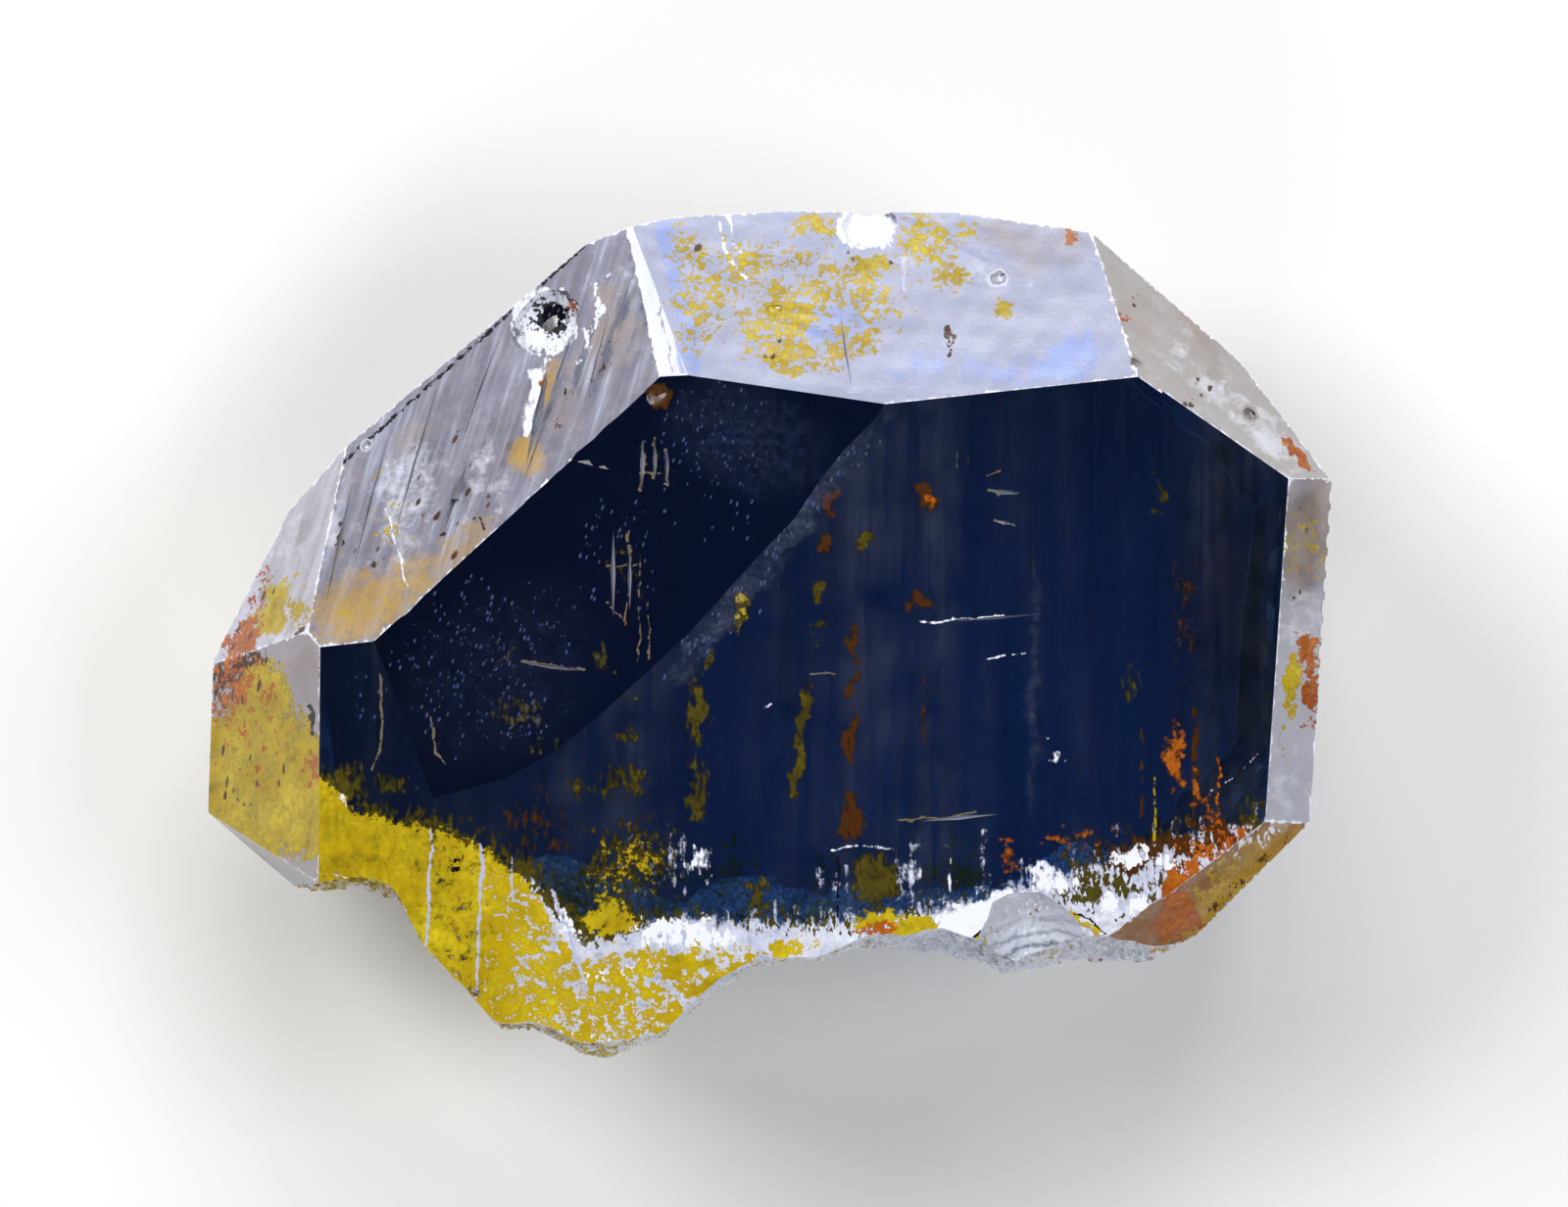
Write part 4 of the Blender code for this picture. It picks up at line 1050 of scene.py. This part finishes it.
def quartz_material(settings):
    """Natural quartz: clear glass of IOR 1.545, matt and pale where it is etched, stained by iron.

    The clear faces let light through and absorb red and green first, so that a thick crystal looks navy.
    A stain is there where its stored cover plus a noise passes one, which gives ragged patches. Some of
    these stains are painted highlights and painted shade.
    """
    material, add = new_material("quartz")
    place = add("TexCoord", out="Object")
    spaces = {"plain": place}
    for name, fields in SPACES.items():
        form = "TEXTURE" if name in TURNED_SPACES else "POINT"
        spaces[name] = add("Mapping", place, named=fields, vector_type=form)
    noise = {}
    for name, (space, scale, detail, roughness, distortion) in NOISES.items():
        fields = {"Scale": scale, "Detail": detail, "Roughness": roughness, "Distortion": distortion}
        noise[name] = add("MapRange", add("TexNoise", spaces[space], named=fields), *NOISE_RANGE)
    for name, ((first, weight), (second, other)) in BLENDS.items():
        rest = add("Math.MULTIPLY", noise[second], other)
        noise[name] = add("Math.MULTIPLY_ADD", noise[first], weight, rest)
    mark = {name: add("Attribute", attribute_name=name, out="Fac") for name in MARKS}
    layers = []

    # Ground: light and dark streaks of growth, painted light and shade on the plain sides' striations, and a
    # skin as opaque as the etching left it
    for tint, where, share, pattern, low, narrowing in GROWTH:
        field = add("Math.SUBTRACT", 1.0, noise[pattern]) if low else noise[pattern]
        field = add("Math.POWER", field, narrowing)
        field = add("Math.MULTIPLY", field, add("Math.MULTIPLY", mark[where], share))
        layers.append((getattr(settings, tint), field))
    patchy = add("Math.MULTIPLY_ADD", noise["coarse"], 0.34, 0.80)
    opaque = add("Math.MULTIPLY", mark["etch"], patchy, use_clamp=True)
    veil = add("Math.MULTIPLY", noise["upright"], noise["coarse"])
    veil = add("Math.MULTIPLY", veil, add("Math.POWER", noise["wide"], 2.0))
    veil = add("Math.MULTIPLY", veil, add("Math.MULTIPLY", mark["window"], 0.15))
    opaque = add("Math.MAXIMUM", opaque, veil)

    # Stains: soft ones only tint, and hard ones have their full colour before they are opaque
    for name in STAINS:
        raised = add("Math.ADD", mark[name], noise[EDGES.get(name, "lacy")])
        cover = add("Math.SUBTRACT", raised, 1.0)
        share = add("Math.MULTIPLY", cover, SOFT_STAINS.get(name, HARD_EDGE), use_clamp=True)
        if name in SOFT_STAINS:
            layers.append((getattr(settings, name), add("Math.MULTIPLY", share, SOFT_TINT)))
            continue
        layers.append((getattr(settings, name), add("Math.MULTIPLY", share, COLOUR_FIRST, use_clamp=True)))
        hiding = add("Math.MULTIPLY", share, THIN_HIDES if name in THIN_STAINS else THICK_HIDES)
        opaque = add("Math.MAXIMUM", opaque, hiding)
        if name in DEEPENED:
            thick, glow = DEEPENED[name]
            shadow = add("Math.POWER", add("Math.SUBTRACT", 1.0, noise["lace"]), 1.6)
            layers.append((linear(thick), add("Math.MULTIPLY", share, shadow)))
            shine = add("Math.POWER", add("Math.MULTIPLY", noise["coarse"], noise["fine"]), 1.2)
            layers.append((linear(glow), add("Math.MULTIPLY", share, shine)))

    # Painted shade: slate rings that draw the ripples of the shell-shaped fracture; and the veil of haze in
    # the window
    fields = {"Scale": 760.0, "Distortion": 4.0, "Detail": 3.0, "Detail Scale": 2.0}
    rings = add(
        "TexWave", spaces["shell"], named=fields, wave_type="RINGS", rings_direction="SPHERICAL", out="Fac"
    )
    layers.append((settings.slate, add("Math.MULTIPLY", mark["shell"], add("Math.POWER", rings, 3.0))))
    haze = add("Math.MULTIPLY", add("Math.POWER", noise["lacy"], 2.0), 2.2)
    haze = add("Math.MULTIPLY", mark["haze"], haze)
    layers.append((settings.haze, add("Math.MULTIPLY", haze, 2.0, use_clamp=True)))
    opaque = add("Math.MAXIMUM", opaque, add("Math.MULTIPLY", haze, 0.8))

    # Grains: a cell has one where its random red passes what the mark leaves, of a size by its green
    for name, (tint, scale, size, opacity) in GRAINS.items():
        cells = add("TexVoronoi", spaces["grain"], named={"Scale": scale}, out=None)
        chance = add("SeparateColor", cells.outputs["Color"], out=None)
        raised = add("Math.ADD", mark[name], chance.outputs["Red"])
        chosen = add("Math.GREATER_THAN", raised, GRAIN_LIMIT)
        reach = add("Math.MULTIPLY", add("Math.ADD", chance.outputs["Green"], noise["lace"]), size)
        near = add("Math.SUBTRACT", reach, cells.outputs["Distance"])
        share = add("Math.MULTIPLY", chosen, add("Math.MULTIPLY", near, GRAIN_EDGE, use_clamp=True))
        layers.append((getattr(settings, tint), share))
        opaque = add("Math.MAXIMUM", opaque, add("Math.MULTIPLY", share, opacity))

    colour = add("Attribute", attribute_name="ground", out="Color")
    for tint, share in layers:
        colour = add("Mix", named={0: share, 6: colour, 7: (*tint, 1.0)}, data_type="RGBA", out=2)
    hidden = add("Math.MULTIPLY", opaque, SKIN_HIDES)
    dull = add("Math.MULTIPLY", opaque, add("Math.SUBTRACT", 1.0, mark["polish"]))
    grainy = add("Math.MULTIPLY_ADD", noise["fine"], 0.25, 0.42)
    height = add("Math.MULTIPLY_ADD", noise["steep"], mark["slope"], noise["fine"])
    bump = add("Bump", named={"Distance": BUMP_HEIGHT, "Strength": dull, "Height": height})
    surface = {
        "IOR": QUARTZ_IOR,
        "Base Color": colour,
        "Transmission Weight": add("Math.SUBTRACT", 1.0, hidden, use_clamp=True),
        "Roughness": add("Math.MULTIPLY_ADD", dull, grainy, POLISHED),
        "Normal": bump,
    }
    shader = add("BsdfPrincipled", named=surface)
    volume = add("VolumeAbsorption", named={"Color": ABSORPTION, "Density": ABSORPTION_DENSITY})
    add("OutputMaterial", named={"Surface": shader, "Volume": volume}, out=None)
    return material


def soft_light(name, place, size, power):
    """A square soft light that looks at the crystal."""
    data = bpy.data.lights.new(name, "AREA")
    data.shape = "SQUARE"
    data.size = size
    data.energy = power
    lamp = bpy.data.objects.new(name, data)
    lamp.location = place
    lamp.rotation_mode = "QUATERNION"
    lamp.rotation_quaternion = (LIGHT_AIM - Vector(place)).to_track_quat("-Z", "Y")
    bpy.context.scene.collection.objects.link(lamp)


class QUARTZ_OT_stage(bpy.types.Operator):
    """Make the pale floor, the soft lights and the camera above the crystal"""

    bl_idname = "quartz.stage"
    bl_label = "Stage"

    def execute(self, context):
        scene = context.scene
        settings = scene.quartz_stage_settings
        low = -FLOOR_GAP * MM
        corners = [(x * FLOOR_HALF, y * FLOOR_HALF, low) for x, y in ((-1, -1), (1, -1), (1, 1), (-1, 1))]
        mesh = bpy.data.meshes.new("floor")
        mesh.from_pydata(corners, [], [(0, 1, 2, 3)])
        floor = bpy.data.objects.new("floor", mesh)
        scene.collection.objects.link(floor)
        # Studio paper: matt and pale, with no shine of its own
        material, add = new_material("paper_floor")
        paper = {"Base Color": (*settings.floor, 1.0), "Roughness": 0.9}
        add("OutputMaterial", add("BsdfPrincipled", named=paper), out=None)
        mesh.materials.append(material)
        for name, (place, size, share) in LIGHTS.items():
            soft_light(name, place, size, share * settings.strength)
        world = bpy.data.worlds.new("studio")
        world.use_nodes = True
        background = world.node_tree.nodes["Background"]
        background.inputs["Color"].default_value = WORLD_COLOUR
        background.inputs["Strength"].default_value = WORLD_STRENGTH
        scene.world = world
        data = bpy.data.cameras.new("camera")
        data.lens = settings.lens
        data.sensor_width = SENSOR_WIDTH
        data.clip_start, data.clip_end = CLIP_RANGE
        wide = PHOTO_SIZE[0] * MM_PER_PIXEL * MM
        distance = wide * data.lens / data.sensor_width
        camera = bpy.data.objects.new("camera", data)
        camera.location = (VIEW_CENTRE[0] * MM, VIEW_CENTRE[1] * MM, VIEW_LEVEL * MM + distance)
        scene.collection.objects.link(camera)
        scene.camera = camera
        scene.view_settings.view_transform = "Standard"
        return {"FINISHED"}


class QUARTZ_PT_panel(bpy.types.Panel):
    """Lists the pieces and their settings"""

    bl_idname = "QUARTZ_PT_panel"
    bl_label = "Quartz crystal"
    bl_space_type = "VIEW_3D"
    bl_region_type = "UI"
    bl_category = "Quartz"

    def draw(self, context):
        scene = context.scene
        for group, operator in (
            (scene.quartz_crystal_settings, "quartz.crystal"),
            (scene.quartz_stage_settings, "quartz.stage"),
        ):
            column = self.layout.column()
            for name in group.bl_rna.properties.keys():
                if name not in {"rna_type", "name"}:
                    column.prop(group, name)
            column.operator(operator)


CLASSES = (CrystalSettings, StageSettings, QUARTZ_OT_crystal, QUARTZ_OT_stage, QUARTZ_PT_panel)


def register():
    for cls in CLASSES:
        bpy.utils.register_class(cls)
    bpy.types.Scene.quartz_crystal_settings = bpy.props.PointerProperty(type=CrystalSettings)
    bpy.types.Scene.quartz_stage_settings = bpy.props.PointerProperty(type=StageSettings)


def unregister():
    del bpy.types.Scene.quartz_crystal_settings
    del bpy.types.Scene.quartz_stage_settings
    for cls in reversed(CLASSES):
        bpy.utils.unregister_class(cls)


def main():
    """Makes the crystal and the stage."""
    register()
    bpy.ops.quartz.crystal()
    bpy.ops.quartz.stage()


if __name__ == "__main__":
    main()
